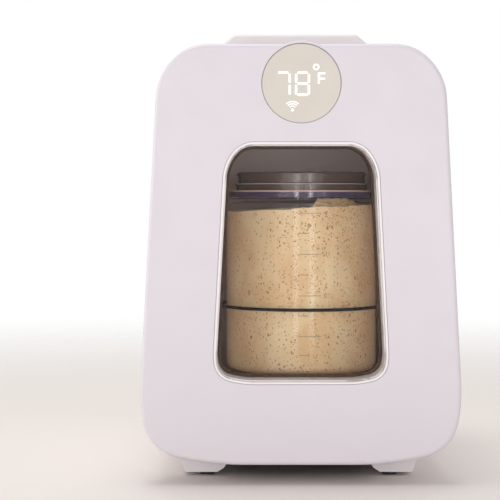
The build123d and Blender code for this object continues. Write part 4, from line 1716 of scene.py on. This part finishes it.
@dataclass
class Fasteners(SubAssembly):
    """All the screws; the visible ones get their recesses. In millimetres."""

    nodes: tuple[str, ...] = ("handle_screws", "hinge_bracket_screws", "door_screws")
    rear: float = 115.0
    cover: tuple[Pair, ...] = ((78.0, 46.0), (80.0, 150.0), (66.0, 262.0))
    fan_reach: float = 35.75
    fan_z: float = 140.0
    base_x: float = 66.0
    base_ys: Pair = (-36.0, 60.0)
    base_seat: float = 9.0
    lengths: Triple = (9.0, 15.5, 17.0)
    twist: float = 0.7

    def set_of(
        self,
        name: str,
        kind: ScrewKind,
        seats: Sequence[Vector],
        turn: Matrix,
        node: str,
        palette: Palette,
    ) -> None:
        """Places copies of one screw and makes them one piece.

        Args:
            name: The piece's name.
            kind: The screw.
            seats: Where each head sits.
            turn: How the screw is turned from upright.
            node: The CAD node that they stand for.
            palette: The finishes.
        """
        model = kind.template(f"{name}_model")
        whole = bmesh.new()
        for index, seat in enumerate(seats):
            copy = model.data.copy()
            twist = Matrix.Rotation(self.twist * index, 4, "Z")
            copy.transform(Matrix.Translation(seat * MM) @ turn @ twist)
            whole.from_mesh(copy)
            bpy.data.meshes.remove(copy)
        bpy.data.objects.remove(model)
        piece = as_piece(name, whole)
        fit_out(piece, Body.HOUSING, palette.get("screw_steel"), [node])

    def build(self, palette: Palette) -> None:
        """Makes the screws of the rear cover, the fan and the base.

        Args:
            palette: The finishes.
        """
        seat_y, reach = self.rear - ScrewKind.height, self.fan_reach
        covers = [Vector((side * x, seat_y, z)) for side in SIDES for x, z in self.cover]
        corners = [(across * reach, self.fan_z + up * reach) for across in SIDES for up in SIDES]
        fans = [Vector((x, seat_y, z)) for x, z in corners]
        feet = [(side * self.base_x, y) for y in self.base_ys for side in SIDES]
        bases = [Vector((x, y, self.base_seat)) for x, y in feet]
        back, under = Matrix.Rotation(-QUARTER, 4, "X"), Matrix.Rotation(math.pi, 4, "X")
        short, middling, long = (ScrewKind(length) for length in self.lengths)
        self.set_of("cover_screw_set", short, covers, back, "rear_cover_screws", palette)
        self.set_of("fan_screw_set", middling, fans, back, "fan_screws", palette)
        self.set_of("base_screw_set", long, bases, under, "base_screws", palette)


@dataclass(frozen=True)
class Lamp:
    """A soft lamp that faces the warmer, in metres and watts."""

    name: str
    place: Triple
    size: Pair
    power: float
    colour: Colour = (1.0, 0.99, 0.98)
    target: Triple = (0.0, 0.0, 0.15)

    def hang(self) -> Piece:
        """Adds the lamp to the scene.

        Returns:
            The lamp.
        """
        data = bpy.data.lights.new(self.name, "AREA")
        data.shape = "RECTANGLE"
        data.size, data.size_y = self.size
        data.energy = self.power
        data.color = self.colour
        lamp = bpy.data.objects.new(self.name, data)
        lamp.location = self.place
        aim = Vector(self.target) - Vector(self.place)
        lamp.rotation_euler = aim.to_track_quat("-Z", "Y").to_euler()
        bpy.context.scene.collection.objects.link(lamp)
        LOG.info("set up %s at %s", self.name, self.place)
        return lamp


@dataclass
class Studio:
    """Camera, round sheet of paper and soft lamps, in metres."""

    eye: Triple = (-0.042, -1.095, 0.190)
    shift: float = 0.0265
    pitch: float = 87.91
    lens: float = 108.43
    floor_radius: float = 1.6
    world_level: float = 0.47
    world_colour: Colour = (1.0, 0.99, 0.985)
    open_lamps: tuple[Lamp, ...] = (
        Lamp("key_lamp", place=(-1.3, -1.7, 0.5), size=(1.3, 1.3), power=5.2),
        Lamp("fill_lamp", place=(1.5, -1.3, 0.5), size=(1.4, 1.4), power=4.2),
        Lamp("top_lamp", place=(-0.2, 0.1, 1.9), size=(1.0, 1.0), power=14.0),
    )
    front: Lamp = Lamp("front_lamp", place=(0.0, -2.0, 0.1), size=(0.9, 0.8), power=12.4)
    side: Lamp = Lamp("side_lamp", place=(-1.7, -0.05, 0.45), size=(0.8, 0.8), power=10.0)
    strips: tuple[Lamp, ...] = (
        Lamp("window_strip", place=(-0.265, -1.6, 0.25), size=(0.2, 1.2), power=4.8),
        Lamp("window_strip", place=(0.35, -1.6, 0.25), size=(0.2, 1.2), power=4.8),
    )

    def camera(self) -> None:
        """Sets up the camera that matches the photograph."""
        data = bpy.data.cameras.new("camera")
        data.lens = self.lens
        data.sensor_width = 36.0
        data.shift_x = self.shift
        data.clip_start = 0.01
        eye = bpy.data.objects.new("camera", data)
        eye.location = self.eye
        eye.rotation_euler = (math.radians(self.pitch), 0.0, 0.0)
        bpy.context.scene.collection.objects.link(eye)
        bpy.context.scene.camera = eye

    def paper(self) -> Piece:
        """Lays the round sheet of paper under the warmer, which fades into the white.

        Returns:
            The sheet.
        """
        form = bmesh.new()
        bmesh.ops.create_circle(form, cap_ends=True, segments=96, radius=self.floor_radius)
        piece = as_piece("paper_sheet", form)
        piece.data.materials.append(StudioPaper().build("finish_paper"))
        return piece

    def shade(self, lamp: Piece, sheet: Piece) -> None:
        """Keeps a low lamp's light off the paper, as a card in front of it does.

        Args:
            lamp: The lamp.
            sheet: The paper.
        """
        kept_off = bpy.data.collections.new(f"{lamp.name}_kept_off")
        kept_off.objects.link(sheet)
        kept_off.collection_objects[0].light_linking.link_state = "EXCLUDE"
        lamp.light_linking.receiver_collection = kept_off

    def surroundings(self) -> None:
        """Sets the world: a plain level of light, seen as white, also in glass and gloss."""
        world = bpy.data.worlds.new("surroundings")
        world.use_nodes = True
        tree = world.node_tree
        tree.nodes.clear()
        path = tree.nodes.new("ShaderNodeLightPath")
        level = tree.nodes.new("ShaderNodeBackground")
        level.inputs["Color"].default_value = (*self.world_colour, 1.0)
        level.inputs["Strength"].default_value = self.world_level
        white = tree.nodes.new("ShaderNodeBackground")
        white.inputs["Color"].default_value = (1.0, 1.0, 1.0, 1.0)
        white.inputs["Strength"].default_value = 1.0
        both = tree.nodes.new("ShaderNodeMixShader")
        seen = path.outputs["Is Camera Ray"]
        for kind in ("Is Glossy Ray", "Is Transmission Ray"):
            sum_up = tree.nodes.new("ShaderNodeMath")
            sum_up.operation = "MAXIMUM"
            tree.links.new(seen, sum_up.inputs[0])
            tree.links.new(path.outputs[kind], sum_up.inputs[1])
            seen = sum_up.outputs["Value"]
        tree.links.new(seen, both.inputs[0])
        tree.links.new(level.outputs["Background"], both.inputs[1])
        tree.links.new(white.outputs["Background"], both.inputs[2])
        output = tree.nodes.new("ShaderNodeOutputWorld")
        tree.links.new(both.outputs["Shader"], output.inputs["Surface"])
        bpy.context.scene.world = world

    def build(self) -> None:
        """Sets up the whole studio."""
        self.camera()
        sheet = self.paper()
        self.surroundings()
        for lamp in self.open_lamps:
            lamp.hang()
        front, side = self.front.hang(), self.side.hang()
        front.visible_glossy = False
        for low in (front, side):
            self.shade(low, sheet)
        for strip in self.strips:
            strip.hang().visible_diffuse = False
        bpy.context.scene.view_settings.view_transform = "Standard"
        bpy.context.scene.cycles.transparent_max_bounces = 32


def main() -> None:
    """Builds the warmer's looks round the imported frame."""
    logging.basicConfig(level=logging.INFO, format="%(message)s")
    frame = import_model()
    palette = Palette()
    Studio().build()
    housing = (Casing(), CoolingUnit(), DriverBoard(), Door(), Display())
    for assembly in (*housing, Jar(), Lid(), Fasteners()):
        assembly.dress(frame["nodes"], palette)
        assembly.build(palette)


if __name__ == "__main__":
    main()
